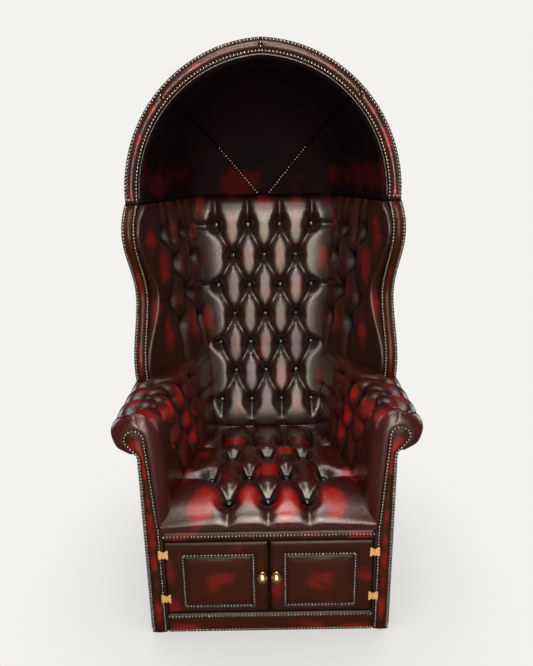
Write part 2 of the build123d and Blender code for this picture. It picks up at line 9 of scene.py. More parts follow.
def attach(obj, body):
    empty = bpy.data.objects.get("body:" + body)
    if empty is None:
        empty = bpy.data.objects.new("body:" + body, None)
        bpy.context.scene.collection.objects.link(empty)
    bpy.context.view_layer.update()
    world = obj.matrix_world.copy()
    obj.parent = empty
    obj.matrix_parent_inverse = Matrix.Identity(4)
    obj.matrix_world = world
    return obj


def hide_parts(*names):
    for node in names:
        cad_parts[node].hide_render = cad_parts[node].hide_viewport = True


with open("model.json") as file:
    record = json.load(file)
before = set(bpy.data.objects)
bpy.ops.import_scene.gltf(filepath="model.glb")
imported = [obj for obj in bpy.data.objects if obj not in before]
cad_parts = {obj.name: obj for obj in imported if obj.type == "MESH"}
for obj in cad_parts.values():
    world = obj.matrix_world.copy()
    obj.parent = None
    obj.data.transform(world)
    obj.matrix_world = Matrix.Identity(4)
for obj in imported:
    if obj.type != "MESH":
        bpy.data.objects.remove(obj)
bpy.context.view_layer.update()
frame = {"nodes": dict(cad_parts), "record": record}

# Sizes in millimetres, as the chair is built: x to the right of someone who looks at the front,
# depths back from the front face, heights above the floor.
MM = 0.001
FRONT = -367.0
SPRING = 1243.0
RIM_DEPTH, LINING_DEPTH, BODY_DEPTH = 306.0, 585.0, 762.0
PAD_FOOT, PAD_BACK = 345.0, 640.0
ARM_TOP, ARM_END, ARM_BOARD = 707.0, 690.0, 351.0
SCROLL_X, SCROLL_Z, SCROLL_RADIUS = 361.0, 645.0, 30.0
WING_HALF = 400.0
ARCH_RADIUS, ARCH_OFFSET, ARCH_LIFT = 420.0, 20.0, 15.0
BAND, BAND_POINTS = 40.0, 33
ROW_TOP, ROW_PITCH, COLUMN_PITCH = 1142.0, 103.8, 108.0
NAIL_PITCH, NAIL_RADIUS, BUTTON_RADIUS = 9.8, 4.6, 9.5
HINGE_HEIGHTS = (124, 277)
# Left, foot, right and top of the right door's leather and of its padded field.
DOOR, FIELD = (1.5, 72, 303, 318), (46, 95, 250, 272)
SIDES = (("right", (1, 1, 1)), ("left", (-1, 1, 1)))


def smooth(edge0, edge1, x):
    t = np.clip((x - edge0) / (edge1 - edge0), 0, 1)
    return t * t * (3 - 2 * t)


def stack(*parts):
    """Points out of one array or number for each coordinate."""
    return np.stack(np.broadcast_arrays(*parts), axis=-1)


def unit(vectors):
    return vectors / np.maximum(np.linalg.norm(vectors, axis=-1, keepdims=True), 1e-9)


def lengths(line):
    """How far along a line each of its points lies."""
    return np.concatenate([[0], np.cumsum(np.hypot(*np.diff(line, axis=0).T))])


# Materials

def linear(text):
    parts = [int(text[i:i + 2], 16) / 255 for i in (1, 3, 5)]
    return tuple(c / 12.92 if c <= 0.04045 else ((c + 0.055) / 1.055) ** 2.4 for c in parts) + (1.0,)


def add(tree, kind, inputs=None, **settings):
    node = tree.nodes.new(kind)
    for key, value in settings.items():
        setattr(node, key, value)
    for key, value in (inputs or {}).items():
        if isinstance(value, bpy.types.NodeSocket):
            tree.links.new(value, node.inputs[key])
        else:
            node.inputs[key].default_value = value
    return node


def noise(tree, place, scale, detail, rough=0.5):
    return add(tree, "ShaderNodeTexNoise", {"Vector": place, "Scale": scale, "Detail": detail,
                                            "Roughness": rough}).outputs["Fac"]


def spread(tree, value, low, high, start=0.0, end=1.0, kind="LINEAR"):
    return add(tree, "ShaderNodeMapRange", {"Value": value, "From Min": low, "From Max": high, "To Min": start,
                                            "To Max": end}, interpolation_type=kind).outputs[0]


def blend(tree, factor, first, second):
    return add(tree, "ShaderNodeMix", {0: factor, 6: first, 7: second}, data_type="RGBA").outputs[2]


def maths(tree, operation, first, second, **settings):
    return add(tree, "ShaderNodeMath", {0: first, 1: second}, operation=operation, **settings).outputs[0]


def raised(tree, height, strength, distance):
    return add(tree, "ShaderNodeBump", {"Strength": strength, "Distance": distance,
                                        "Height": height}).outputs["Normal"]


def empty_tree(owner):
    owner.use_nodes = True
    owner.node_tree.nodes.clear()
    return owner, owner.node_tree


def new_material(name):
    return empty_tree(bpy.data.materials.new(name))


def finish_material(tree, shader):
    add(tree, "ShaderNodeOutputMaterial", {"Surface": shader.outputs[0]})


# Cow hide, drum dyed oxblood, then hand rubbed: cherry red where the top colour was rubbed off the high places,
# under a clear glaze that gives wide soft highlights. Nearly black in the folds: partly the darker finish left in
# the recesses, partly painted shade.
def rubbed_leather(part="", rub=1.0, dark="#100404", body="#390f0b", cherry="#7e110d", rough=0.37,
                   coat=0.12, shine=0.5, cloudy=False):
    material, tree = new_material("oxblood_leather" + part)
    dark, body, cherry = linear(dark), linear(body), linear(cherry)
    place = add(tree, "ShaderNodeTexCoord").outputs["Object"]
    recess_finish_and_shade = add(tree, "ShaderNodeAttribute", attribute_name="recess_finish_and_shade").outputs["Fac"]
    rubbed = add(tree, "ShaderNodeAttribute", attribute_name="rub").outputs["Fac"]
    if cloudy:
        # Large plain covers: rubbed clouds some 200 mm apart.
        rubbed = spread(tree, noise(tree, place, 4.2, 1.0), 0.48, 0.76, kind="SMOOTHSTEP")
    clouds = noise(tree, place, 9.0, 3.0, 0.55)
    # The rubbed places have cloudy edges some 15 mm wide.
    worn = spread(tree, noise(tree, place, 16.0, 3.0, 0.6), 0.3, 0.7, -0.35, 0.35)
    high = spread(tree, maths(tree, "ADD", rubbed, worn), 0.18, 0.95, kind="SMOOTHSTEP")
    amount = maths(tree, "MULTIPLY", high, rub, use_clamp=True)
    mottled = blend(tree, 0.45, body, blend(tree, spread(tree, clouds, 0.3, 0.7), body, dark))
    # Darker towards the low places: the finish left in the recesses, and painted shade in the folds and button
    # holes.
    base = blend(tree, spread(tree, recess_finish_and_shade, 0.1, 0.75, kind="SMOOTHSTEP"), dark, mottled)
    # Hide grain of 1.6 mm pebbles, drawn twice as coarse so that it shows, and fine pull creases.
    grain = add(tree, "ShaderNodeTexVoronoi", {"Vector": place, "Scale": 320.0}, feature="F1")
    level = add(tree, "ShaderNodeMapping", {"Vector": place, "Scale": (1.0, 1.0, 3.2)}).outputs[0]
    relief = maths(tree, "ADD", grain.outputs["Distance"], noise(tree, level, 55.0, 5.0, 0.6))
    finish_material(tree, add(tree, "ShaderNodeBsdfPrincipled", {
        "Base Color": blend(tree, amount, base, cherry),
        "Roughness": spread(tree, clouds, 0.3, 0.7, rough - 0.05, rough + 0.08),
        "Specular IOR Level": shine, "Coat Weight": coat, "Coat Roughness": 0.28,
        "Normal": raised(tree, relief, 0.3, 0.0015)}))
    return material


def two_toned(name, light, dark, scale, detail, stretch=(1.0, 1.0, 1.0), metal=0.0, rough=0.5, relief=None):
    """Two tones mixed by noise, which is stretched where the finish has a grain."""
    material, tree = new_material(name)
    place = add(tree, "ShaderNodeTexCoord").outputs["Object"]
    along = add(tree, "ShaderNodeMapping", {"Vector": place, "Scale": stretch}).outputs[0]
    grain = noise(tree, along, scale, detail)
    inputs = {"Base Color": blend(tree, grain, linear(light), linear(dark)), "Metallic": metal,
              "Roughness": spread(tree, grain, 0.0, 1.0, *rough) if isinstance(rough, tuple) else rough}
    if relief:
        inputs["Normal"] = raised(tree, grain, *relief)
    finish_material(tree, add(tree, "ShaderNodeBsdfPrincipled", inputs))
    return material


LEATHER = rubbed_leather(body="#360d09", rough=0.31, coat=0.08, shine=0.52)
SEAT_LEATHER = rubbed_leather("_seat", body="#340c08", cherry="#850f0b", rough=0.26, coat=0.22, shine=0.72)
BACK_LEATHER = rubbed_leather("_back", rub=0.6, dark="#0c0403", body="#220d0a", cherry="#6e1813", rough=0.31,
                              shine=0.75)
WING_LEATHER = rubbed_leather("_wing", rub=0.6, body="#290e0a", cherry="#6a120e", shine=0.35)
# The lining is painted almost black: partly its own dark finish, partly painted shade inside the hood.
LINING_LEATHER_AND_SHADE = rubbed_leather("_lining", rub=0.5, dark="#060305", body="#0f0709", cherry="#400a08", rough=0.6,
                                coat=0.0, shine=0.02)
PANEL_LEATHER = rubbed_leather("_panel", rub=0.8, dark="#190702", body="#321003", cherry="#680e06", rough=0.34,
                               coat=0.02, shine=0.26)
COVER_LEATHER = rubbed_leather("_cover", rub=0.4, dark="#190603", body="#320e07", cherry="#6a110a", rough=0.36,
                               coat=0.05, shine=0.4, cloudy=True)
# The buttons are painted near black: painted shade of the holes they sit in, under a sharp glaze.
BUTTON_LEATHER_PAINTED_SHADE = rubbed_leather("_buttons", rub=0.0, dark="#0c0404", body="#1d0a08", rough=0.16, coat=0.6)
# Cast and turned brass, polished: bright yellow metal with hazy hand marks.
BRASS = two_toned("polished_brass", "#ffdca6", "#e3b172", 180.0, 4.0, metal=1.0, rough=(0.26, 0.42))
# Domed steel nails with an antique bronze plating: each shows one small bright spot on dark metal.
BRONZE = two_toned("antique_bronze", "#a29b92", "#59534b", 90.0, 2.0, metal=1.0, rough=0.28)
# Stamped brass hinge leaves, brushed and lacquered: pale, satin, with grain across the leaf.
SATIN = two_toned("satin_brass", "#f7cf8e", "#dba765", 90.0, 3.0, (1.0, 1.0, 12.0), metal=0.6, rough=0.45,
                  relief=(0.15, 0.0003))
# Planed beech, unfinished inside: pale, close grained, with short dark flecks along the grain.
BEECH = two_toned("planed_beech", "#c79f6c", "#9c713f", 2.0, 6.0, (60.0, 60.0, 4.0), rough=0.55,
                  relief=(0.2, 0.0006))
# Beech where it edges the doors, painted dark and dull: painted shade of the gaps.
GAP_SHADE_BEECH = two_toned("beech_painted_gap_shade", "#2c1510", "#170a08", 2.0, 6.0, (60.0, 60.0, 4.0))


# Mesh building. Points are given in millimetres and stored in metres. Pieces that come in pairs are
# worked out for the right-hand side, and flip mirrors them.

def new_object(name, data):
    piece = bpy.data.objects.new(name, data)
    bpy.context.scene.collection.objects.link(piece)
    return piece


def declare(piece, body, slot, replaces=()):
    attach(piece, body)
    if replaces:
        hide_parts(*replaces)


def make_object(name, points, faces, material, recess_finish_and_shade, rub, replaces, body="chair", slot="leather_cover"):
    mesh = bpy.data.meshes.new(name)
    mesh.from_pydata([tuple(p) for p in np.asarray(points) * MM], [], faces)
    for label, values in (("recess_finish_and_shade", recess_finish_and_shade), ("rub", rub)):
        if values is not None:
            data = mesh.attributes.new(label, "FLOAT", "POINT")
            data.data.foreach_set("value", np.asarray(values, dtype=np.float32))
    shape = bmesh.new()
    shape.from_mesh(mesh)
    bmesh.ops.remove_doubles(shape, verts=shape.verts, dist=0.00002)
    bmesh.ops.recalc_face_normals(shape, faces=shape.faces)
    shape.to_mesh(mesh)
    shape.free()
    mesh.materials.append(material)
    mesh.polygons.foreach_set("use_smooth", [True] * len(mesh.polygons))
    declare(new_object(name, mesh), body, slot, replaces)


def grid_faces(rows, columns, first=0):
    index = np.arange(rows * columns).reshape(rows, columns) + first
    quads = np.stack([index[:-1, :-1], index[1:, :-1], index[1:, 1:], index[:-1, 1:]], axis=-1)
    return [tuple(int(v) for v in quad) for quad in quads.reshape(-1, 4)]


def rim_indices(rows, columns):
    index = np.arange(rows * columns).reshape(rows, columns)
    ring = [*index[0, :], *index[1:, -1], *index[-1, -2::-1], *index[-2:0:-1, 0]]
    return [int(v) for v in ring]


def closed_sheet(name, front, back_of, material, recess_finish_and_shade, rub, replaces, flip=1, **where):
    """A sheet with its edge turned back to the points that back_of gives, and closed there."""
    points = front.reshape(-1, 3)
    faces = grid_faces(*front.shape[:2])
    ring = rim_indices(*front.shape[:2])
    back = np.array([back_of(points[i]) for i in ring])
    start, count = len(points), len(ring)
    for i in range(count):
        j = (i + 1) % count
        faces += [(ring[j], ring[i], start + i, start + j), (start + count, start + j, start + i)]
    points = np.vstack([points, back, back.mean(axis=0)[None]]) * flip
    recess_finish_and_shade, rub = (np.concatenate([values.reshape(-1), np.zeros(count + 1)]) for values in (recess_finish_and_shade, rub))
    make_object(name, points, faces, material, recess_finish_and_shade, rub, replaces, **where)


def shell_sheet(name, outer, inner, material, recess_finish_and_shade, rub, replaces, flip=1):
    """Two sheets of the same size, one behind the other, joined round their edge."""
    rows, columns = outer.shape[:2]
    size = rows * columns
    faces = grid_faces(rows, columns) + [tuple(reversed(f)) for f in grid_faces(rows, columns, size)]
    ring = rim_indices(rows, columns)
    faces += [(b, a, a + size, b + size) for a, b in zip(ring, ring[1:] + ring[:1])]
    points = np.vstack([outer.reshape(-1, 3), inner.reshape(-1, 3)]) * flip
    recess_finish_and_shade, rub = (None if values is None else np.tile(values.reshape(-1), 2) for values in (recess_finish_and_shade, rub))
    make_object(name, points, faces, material, recess_finish_and_shade, rub, replaces)


def moved_to(points, y):
    """The same points with another y, for the back of a band."""
    return stack(points[..., 0], y, points[..., 2])


def grid_normals(points):
    return unit(np.cross(np.gradient(points, axis=0), np.gradient(points, axis=1)))


# Tufting: how far the leather stands out, from 0 in a button's hole to 1 on a cushion's crown

def bulge(x):
    return np.sqrt(1 - (1 - np.clip(x, 0, 1)) ** 2)


def blurred(grid, cells):
    reach = int(cells * 2.5) + 1
    kernel = np.exp(-0.5 * (np.arange(-reach, reach + 1) / cells) ** 2)
    kernel /= kernel.sum()
    for axis in (0, 1):
        wide = np.concatenate([np.repeat(grid.take([0], axis), reach, axis), grid,
                               np.repeat(grid.take([-1], axis), reach, axis)], axis=axis)
        size = grid.shape[axis]
        grid = sum(k * wide.take(range(i, i + size), axis) for i, k in enumerate(kernel))
    return grid


def quilted(u, v, folds, buttons, wide, pit, cells):
    """Height and shade: round hollows at the buttons, joined by pleats that are deepest near them.
    A fold has two ends, its level at the middle (1 is no fold), and its level at the far end."""
    height = np.ones_like(u)
    crease = np.zeros_like(u)
    for (u0, v0), (u1, v1), middle, far in folds:
        du, dv = u1 - u0, v1 - v0
        t = np.clip(((u - u0) * du + (v - v0) * dv) / (du * du + dv * dv), 0, 1)
        away = np.hypot(u - u0 - t * du, v - v0 - t * dv)
        level = middle * (1 - np.abs(2 * t - 1) ** 1.6) + far * smooth(0.45, 1, t)
        valley = 0.42 * np.exp(-away / (wide * 0.45)) + 0.4 * np.exp(-(away / wide) ** 2)
        height = np.minimum(height, 1 - (1 - level) * valley)
        # Thin dark lines along the creases, for the colour only: painted shade.
        crease = np.maximum(crease, np.exp(-(away / 3.0) ** 2) * (1 - 0.6 * level))
    for u0, v0 in buttons:
        height = height * (1 - np.exp(-(np.hypot(u - u0, v - v0) / pit) ** 2.3))
    height = blurred(height, cells)
    crease = blurred(crease, 0.6)
    # The second result, low in the holes and creases, darkens the leather: painted shade together with the finish
    # left in the recesses.
    return np.clip(height - 0.02 * crease, 0, 1), np.clip(height * (1 - 0.7 * crease), 0, 1)


def diamond_folds(rows, reach, middle=0.76):
    return [(a, b, middle, 0.0) for upper, lower in zip(rows, rows[1:]) for a in upper for b in lower
            if math.dist(a, b) < reach]


def between(rows, border):
    """The middles of the cushions: halfway along each row of buttons, and beside its ends."""
    spots = []
    for row in rows:
        spots += [((a[0] + b[0]) / 2, (a[1] + b[1]) / 2) for a, b in zip(row, row[1:])]
        step = border * (row[-1][0] - row[0][0]) / (len(row) - 1)
        spots += [(row[0][0] - step, row[0][1]), (row[-1][0] + step, row[-1][1])]
    return spots


def rub_marks(u, v, spots, wide, tall, shift=0.0):
    """Where the top colour was rubbed off: a patch on each cushion, of uneven strength."""
    amount = np.zeros_like(u)
    for k, (u0, v0) in enumerate(spots):
        strength = 0.62 + 0.38 * math.sin(k * 2.4 + 1 + shift)
        away = ((u - u0) / wide) ** 2 + ((v - v0) / tall) ** 2
        amount = np.maximum(amount, strength * np.exp(-away ** 1.3))
    return amount


def pull_marks(u, v, buttons, count, reach):
    """Small creases that run out of each button's hole."""
    marks = np.zeros_like(u)
    for k, (u0, v0) in enumerate(buttons):
        away = np.hypot(u - u0, v - v0)
        angle = np.arctan2(v - v0, u - u0)
        ring = np.exp(-((away - reach * 0.55) / (reach * 0.38)) ** 2)
        marks += ring * np.sin(angle * count + k * 1.7 + 0.6 * np.sin(3 * angle + k))
    return marks


button_places = []


def place_button(spot, normal, flip=1):
    button_places.append((np.array(spot) * flip, unit(np.array(normal) * flip)))


# Back pad: its line leans back, as depth and height, and is eased at the bends

BACK_LINE = [(492, 345), (560, 600), (578, 900), (585, 1243)]
BACK_HEIGHTS = np.arange(100.0, 1501.0, 5.0)
EASING = np.hanning(81)
BACK_DEPTHS = np.convolve(np.pad(np.interp(BACK_HEIGHTS, *np.transpose(BACK_LINE)[::-1]), 40, mode="edge"),
                          EASING / EASING.sum(), mode="valid")


def back_depth(z):
    return np.interp(z, BACK_HEIGHTS, BACK_DEPTHS)


def back_half(z):
    return np.interp(z, [345, 400, 650, 1243], [192, 196, 212, 246]) + 8


def build_back_pad():
    rows = []
    for index in range(7):
        count = 4 if index % 2 == 0 else 3
        z = ROW_TOP - ROW_PITCH * index
        rows.append([(COLUMN_PITCH * (k - (count - 1) / 2), z) for k in range(count)])
    buttons = [place for row in rows for place in row]
    folds = diamond_folds(rows, 125)
    for x, z in rows[0]:
        folds.append(((x, z), (x, SPRING + 40), 0.62, 0.7))
        folds.append(((x - 5, z + 8), (x - 9, z + 66), 0.5, 1.0))
        folds.append(((x + 5, z + 8), (x + 10, z + 60), 0.5, 1.0))
    folds += [((x, z), (x, z - 75), 0.6, 0.9) for x, z in rows[-1]]
    folds += [((x, z), (math.copysign(290, x), z), 0.4, 0.45) for row in rows[0::2] for x, z in (row[0], row[-1])]
    up = np.concatenate([np.linspace(352, 1190, 280, endpoint=False), np.linspace(1190, 1244.5, 34)])
    v, u = np.meshgrid(up, np.linspace(-1, 1, 171), indexing="ij")
    x = u * back_half(v)
    height, fold_finish_and_shade = quilted(x, v, folds, buttons, 13, 20, 1.3)
    height = height * (0.2 + 0.8 * bulge((1 - np.abs(u)) * back_half(v) / 84))
    height = height * (0.75 + 0.25 * bulge((1236 - v) / 40))
    lift = 44 * height + 0.6 * pull_marks(x, v, buttons, 15, 30) * smooth(0.02, 0.2, height)
    # The pad rolls away at its top, and at its foot behind the seat.
    depth = back_depth(v) + 27 - lift + 60 * (1 - bulge((1248 - v) / 94)) + 34 * (1 - bulge((v - 424) / 96))
    spots = between(rows, 0.85) + [(COLUMN_PITCH * k, 1222) for k in (-2, -1, 0, 1, 2)]

    def behind(p):
        return (p[0] * 0.98, FRONT + PAD_BACK, min(p[2], SPRING))

    closed_sheet("back_leather", stack(x, FRONT + depth, v), behind, BACK_LEATHER, fold_finish_and_shade,
                 rub_marks(x, v, spots, 24, 52), ["back_pad"], slot="stuffed_leather")
    for x, z in buttons:
        place_button((x, FRONT + back_depth(z) + 21, z), (0, -1, (back_depth(z + 20) - back_depth(z - 20)) / 40))


build_back_pad()


# Seat pad: rows of buttons as x and depth

SEAT_ROWS = [[(-116, 60), (0, 60), (116, 60)], [(-174, 163), (-58, 163), (58, 163), (174, 163)],
             [(-116, 280), (0, 280), (116, 280)], [(-162, 372), (-58, 372), (58, 372), (162, 372)]]
# Depth and height along the middle: a tight roll over the rail, a rising front and the flat of the seat.
SEAT_LINE = [(14, 347), (5, 361), (4, 377), (11, 392), (26, 406), (50, 421), (85, 435), (135, 445), (215, 450),
             (330, 445), (480, 426), (640, 396)]


def spline(points, count):
    """A smooth line through the points (Catmull-Rom)."""
    p = np.array(points, dtype=float)
    p = np.vstack([2 * p[0] - p[1], p, 2 * p[-1] - p[-2]])
    t = np.linspace(0, len(points) - 1, count)
    i = np.minimum(t.astype(int), len(points) - 2)
    t = (t - i)[:, None]
    a, b, c, d = p[i], p[i + 1], p[i + 2], p[i + 3]
    return 0.5 * (2 * b + (c - a) * t + (2 * a - 5 * b + 4 * c - d) * t ** 2 + (3 * b - a - 3 * c + d) * t ** 3)


def build_seat_pad():
    line = spline(SEAT_LINE, 400)
    whole = lengths(line)
    # The rear of the line lies hidden under the back pad.
    length = np.linspace(0, whole[-1] * 0.86, 210)
    depth_line, height_line = (np.interp(length, whole, line[:, k]) for k in (0, 1))
    rows = [[(x, float(np.interp(d, depth_line[25:], length[25:]))) for x, d in row] for row in SEAT_ROWS]
    buttons = [place for row in rows for place in row]
    folds = diamond_folds(rows, 150, 0.6)
    folds += [((x, r), (x, 6), 0.6, 0.85) for x, r in rows[0]]
    folds += [((x, r), (x, r + 150), 0.4, 0.5) for x, r in rows[-1]]
    folds += [((x, r), (math.copysign(340, x), r), 0.4, 0.55) for row in rows[1::2] for x, r in (row[0], row[-1])]
    run, across = np.meshgrid(length, np.linspace(-1, 1, 201), indexing="ij")
    depth = depth_line[:, None]
    half = 300 - (np.maximum(depth, 0) - 8) * 140 / 682 + 7
    x = across * half
    height, fold_finish_and_shade = quilted(x, run, folds, buttons, 17, 27, 1.4)
    low_side = 0.6 * (1 - bulge((1 - np.abs(across)) * 290 / 26))
    height = height * (1 - low_side * smooth(90, 170, run))
    base = stack(x, FRONT + depth, height_line[:, None] - 20 * across ** 2 * smooth(0, 60, run))
    normal = grid_normals(base)
    normal = normal * np.sign(normal[100, 100, 2])
    creases = pull_marks(x, run, buttons, 13, 30) * smooth(0.02, 0.2, height)
    lift = (36 * height - 27) * smooth(0, 16, run) + 0.6 * creases
    points = base + normal * lift[..., None]
    points[..., 1] = np.maximum(points[..., 1], FRONT - 4)
    nose = rub_marks(x, run, [(-190, 96), (-58, 92), (58, 92), (190, 96)], 40, 58, 1.0)
    rub = np.maximum(rub_marks(x, run, between(rows, 0.75), 36, 34, 1.0), np.clip(1.35 * nose, 0, 1))

    def behind(p):
        return (p[0] * 0.99, max(p[1], FRONT + 20), 346)

    closed_sheet("seat_leather", points, behind, SEAT_LEATHER, fold_finish_and_shade, rub, ["seat_pad"], slot="stuffed_leather")
    for u, r in buttons:
        i = int(np.argmin(np.abs(length - r)))
        j = int(np.argmin(np.abs(u - base[i, :, 0])))
        place_button(base[i, j] - normal[i, j] * 21, normal[i, j])


build_seat_pad()


# Arms: from the nails on the facing in front, back under the back pad

ARM_STEPS = (76, 22, 30, 52)
CREST, INNER_POINTS = (374, 705), 110
# The depths of the buttons in each row, and its height: the first row lies on the crest.
ARM_ROWS = (((66, 156, 246), CREST[1]), ((111, 201, 291, 381), 672), ((152, 242, 332, 422), 580),
            ((197, 287, 377), 500))
NOSE = 34.0


def arc(x, z, radius, angles):
    return stack(x + radius * np.cos(angles), z + radius * np.sin(angles))


def arm_path(depth):
    """The arm's section, as x and height: up the inner face, over the roll and down to the board."""
    part = (np.clip(depth, 8, ARM_END) - 8) / (ARM_END - 8)
    foot, inner = 300 - 140 * part, 308 - 124 * part
    centre = np.interp(depth, [8, 330, ARM_END], [365, 360, 335])
    radius = np.interp(depth, [8, 330, ARM_END], [55, 55, 50])
    height, turned = ARM_TOP - radius, inner + radius
    crest = max(centre, turned + 2)
    end = -math.acos(np.clip((ARM_BOARD - centre) / radius, -1, 1))
    rise, turn, flat, fall = ARM_STEPS
    return np.concatenate([
        np.linspace((foot, PAD_FOOT), (inner, height), rise, endpoint=False),
        arc(turned, height, radius, np.linspace(math.pi, math.pi / 2, turn, endpoint=False)),
        np.linspace((turned, ARM_TOP), (crest, ARM_TOP), flat, endpoint=False),
        arc(crest, height, radius, np.linspace(math.pi / 2, end, fall))])


def facing_edges(z):
    """The inner and outer edge of the arm's facing, which ends in a round scroll."""
    swing = np.sqrt(np.maximum(SCROLL_RADIUS ** 2 - (z - SCROLL_Z) ** 2, 0))
    inner = np.where(z < SCROLL_Z, np.interp(z, [0, 365, SCROLL_Z], [310, 312, 331]), SCROLL_X - swing)
    outer = np.where(z < 622, np.interp(z, [0, 590, 600, 622], [354, 354, 357, 380.3]), SCROLL_X + swing)
    return inner, outer


def nail_loop():
    """Where the leather is nailed in front, up the facing and round its scroll, in arm_path's steps."""
    rise, turn, flat, fall = ARM_STEPS
    scroll = (SCROLL_X, SCROLL_Z, SCROLL_RADIUS)
    z = np.linspace(PAD_FOOT, SCROLL_Z, rise, endpoint=False)
    a = np.linspace(0, 1, fall)
    round_end = arc(*scroll, math.pi / 2 - np.minimum(a / 0.8, 1) * math.radians(140))
    last = np.clip((a - 0.8) / 0.2, 0, 1)[:, None]
    return np.concatenate([
        stack(facing_edges(z)[0], z),
        arc(*scroll, np.linspace(math.pi, math.pi / 2, turn + flat, endpoint=False)),
        round_end * (1 - last) + np.array([354.0, 597.0]) * last])


def build_arm():
    depths = np.concatenate([np.linspace(NOSE, 330, 76, endpoint=False), np.linspace(330, ARM_END, 72)])
    body = np.array([arm_path(d) for d in depths])
    # Behind the back pad only the outer roll goes on.
    body[depths > 610, :, 0] = np.maximum(body[depths > 610, :, 0], 306)
    turns = np.linspace(0, math.pi / 2, 13, endpoint=False)
    loop = nail_loop()
    section = np.concatenate([[loop + (body[0] - loop) * math.sin(t) for t in turns], body])
    depth = np.concatenate([NOSE - (NOSE - 3) * np.cos(turns), depths])
    along = np.concatenate([NOSE - 3 - (NOSE - 3) * (math.pi / 2 - turns), depths])
    # Over the leather: s runs up the section, and v back along the arm.
    s = np.array([lengths(line) for line in body])
    s = np.concatenate([np.repeat(s[:1], len(turns), axis=0), s])
    v = np.broadcast_to(along[:, None], s.shape)

    def nearest(d, height):
        i = int(np.argmin(np.abs(depth - d)))
        away = section[i] - CREST if height == CREST[1] else section[i, :INNER_POINTS, 1:] - height
        return i, int(np.argmin(np.linalg.norm(away, axis=-1)))

    places = [[nearest(d, height) for d in row] for row, height in ARM_ROWS]
    rows = [[(float(s[place]), float(along[place[0]])) for place in row] for row in places]
    buttons = [spot for row in rows for spot in row]
    crest, shoulder, middle, low = rows
    over = float(s[-len(depths), -1])
    folds = [(a, b, 0.5, 0.0) for upper, lower in zip(rows, rows[1:]) for a in upper for b in lower
             if abs(a[1] - b[1]) < 62]
    folds += [(a, (over, a[1] + 4), 0.5, 0.8) for a in crest]
    folds += [(a, (0, a[1] + 20), 0.4, 0.6) for a in low]
    folds += [(crest[0], (crest[0][0] - 6, -60), 0.7, 0.9), (shoulder[-1], (shoulder[-1][0], 660), 0.5, 0.8),
              (middle[-1], (middle[-1][0] - 10, 660), 0.5, 0.8)]
    height, fold_finish_and_shade = quilted(s, v, folds, buttons, 14, 24, 1.2)
    # Gathers where the leather turns in to the scroll.
    column = np.arange(section.shape[1])
    round_part = smooth(60, 80, column) * (1 - smooth(170, 179, column))
    gather = np.exp(-((along + 4) / 26) ** 2)[:, None] * round_part
    height = np.clip(height - 0.14 * gather * (0.5 + 0.5 * np.sin(s / 8.5 + 0.8 * np.sin(s / 21))), 0, 1)
    base = stack(section[..., 0], FRONT + depth[:, None], section[..., 1])
    normal = grid_normals(base)
    normal = normal * np.sign(normal[80, 40, 2] - normal[80, 40, 0])
    grow = smooth(3, 30, depth)[:, None]
    front_swell = 7 * np.exp(-((v - 40) / 34) ** 2) * smooth(20, 90, s) * (1 - smooth(250, 330, s))
    lift = (34 * height - 25) * grow + 3 * (1 - grow) + front_swell
    lift = lift * smooth(0, 6, column) * (1 - smooth(172, 179, column)) + 0.5 * pull_marks(s, v, buttons, 11, 24)
    points = base + normal * lift[..., None]
    points[..., 1] = np.maximum(points[..., 1], FRONT + 1.0)
    rub = rub_marks(s, v, between(rows, 0.9), 34, 28, 2.0)
    # Two more worn places on the front swell, on either side of the first button.
    for strength, place in ((0.8, crest[0][0] - 62), (0.7, crest[0][0] + 68)):
        rub = np.maximum(rub, strength * np.exp(-((s - place) / 30) ** 2 - ((v - 38) / 20) ** 2))

    def behind(p):
        y = min(p[1] + 8, FRONT + 696)
        return (min(max(p[0], 305), 350), y, max(p[2] - 10, 350)) if p[2] < 640 else (352, y, 620)

    for word, flip in SIDES:
        closed_sheet(word + "_arm_leather", points, behind, LEATHER, fold_finish_and_shade, rub, [word + "_arm_pad"], flip,
                     slot="stuffed_leather")
        for place in [place for row in places for place in row]:
            place_button(base[place] - normal[place] * 19, normal[place], flip)


build_arm()


# Padded facings: rows of points from one edge of a band to the other, domed between its nails

def band_rise(from_edge, half):
    """Across a padded band: a low margin where the nails go, and a dome between them."""
    margin = 0.3 * (1 - np.exp(-from_edge / 1.5))
    return margin + 0.7 * np.sin(math.pi / 2 * np.clip((from_edge - 7) / (half - 7), 0, 1)) ** 0.8


def facing_pair(name, node, points, back, material, recess_finish_and_shade, rub):
    """A facing and its mirror image, with its back at the depth given."""
    for word, flip in SIDES:
        shell_sheet(f"{word}_{name}_leather", points, moved_to(points, FRONT + back), material, recess_finish_and_shade, rub,
                    [f"{word}_{node}"], flip)


def build_arm_facing():
    z = np.concatenate([np.linspace(0.5, 600, 150, endpoint=False), np.linspace(600, 675, 40)])[:, None]
    inner, outer = facing_edges(z)
    width = outer - inner
    across = np.linspace(0, 1, BAND_POINTS)
    x = inner + width * across
    from_edge = np.minimum(np.minimum(across, 1 - across) * width, (675.5 - z) * 1.2)
    rise = band_rise(from_edge, np.maximum(width / 2, 12)) * (0.35 + 0.65 * smooth(0, 70, z))
    # Pressed flat under the hinge leaves, which lie on top.
    near = sum(1 - smooth(17, 23, np.abs(z - height)) for height in HINGE_HEIGHTS) * (1 - smooth(320, 328, x))
    streaks = 0.6 + 0.4 * np.sin(z / 41 + 1.3 * np.sin(z / 17))
    facing_pair("facing", "arm_facing", stack(x, FRONT + 2.5 - 7 * rise * (1 - near), z), 8, PANEL_LEATHER,
                0.25 + 0.7 * rise, np.clip(rise * 1.5 - 0.55, 0, 1) * streaks)


build_arm_facing()

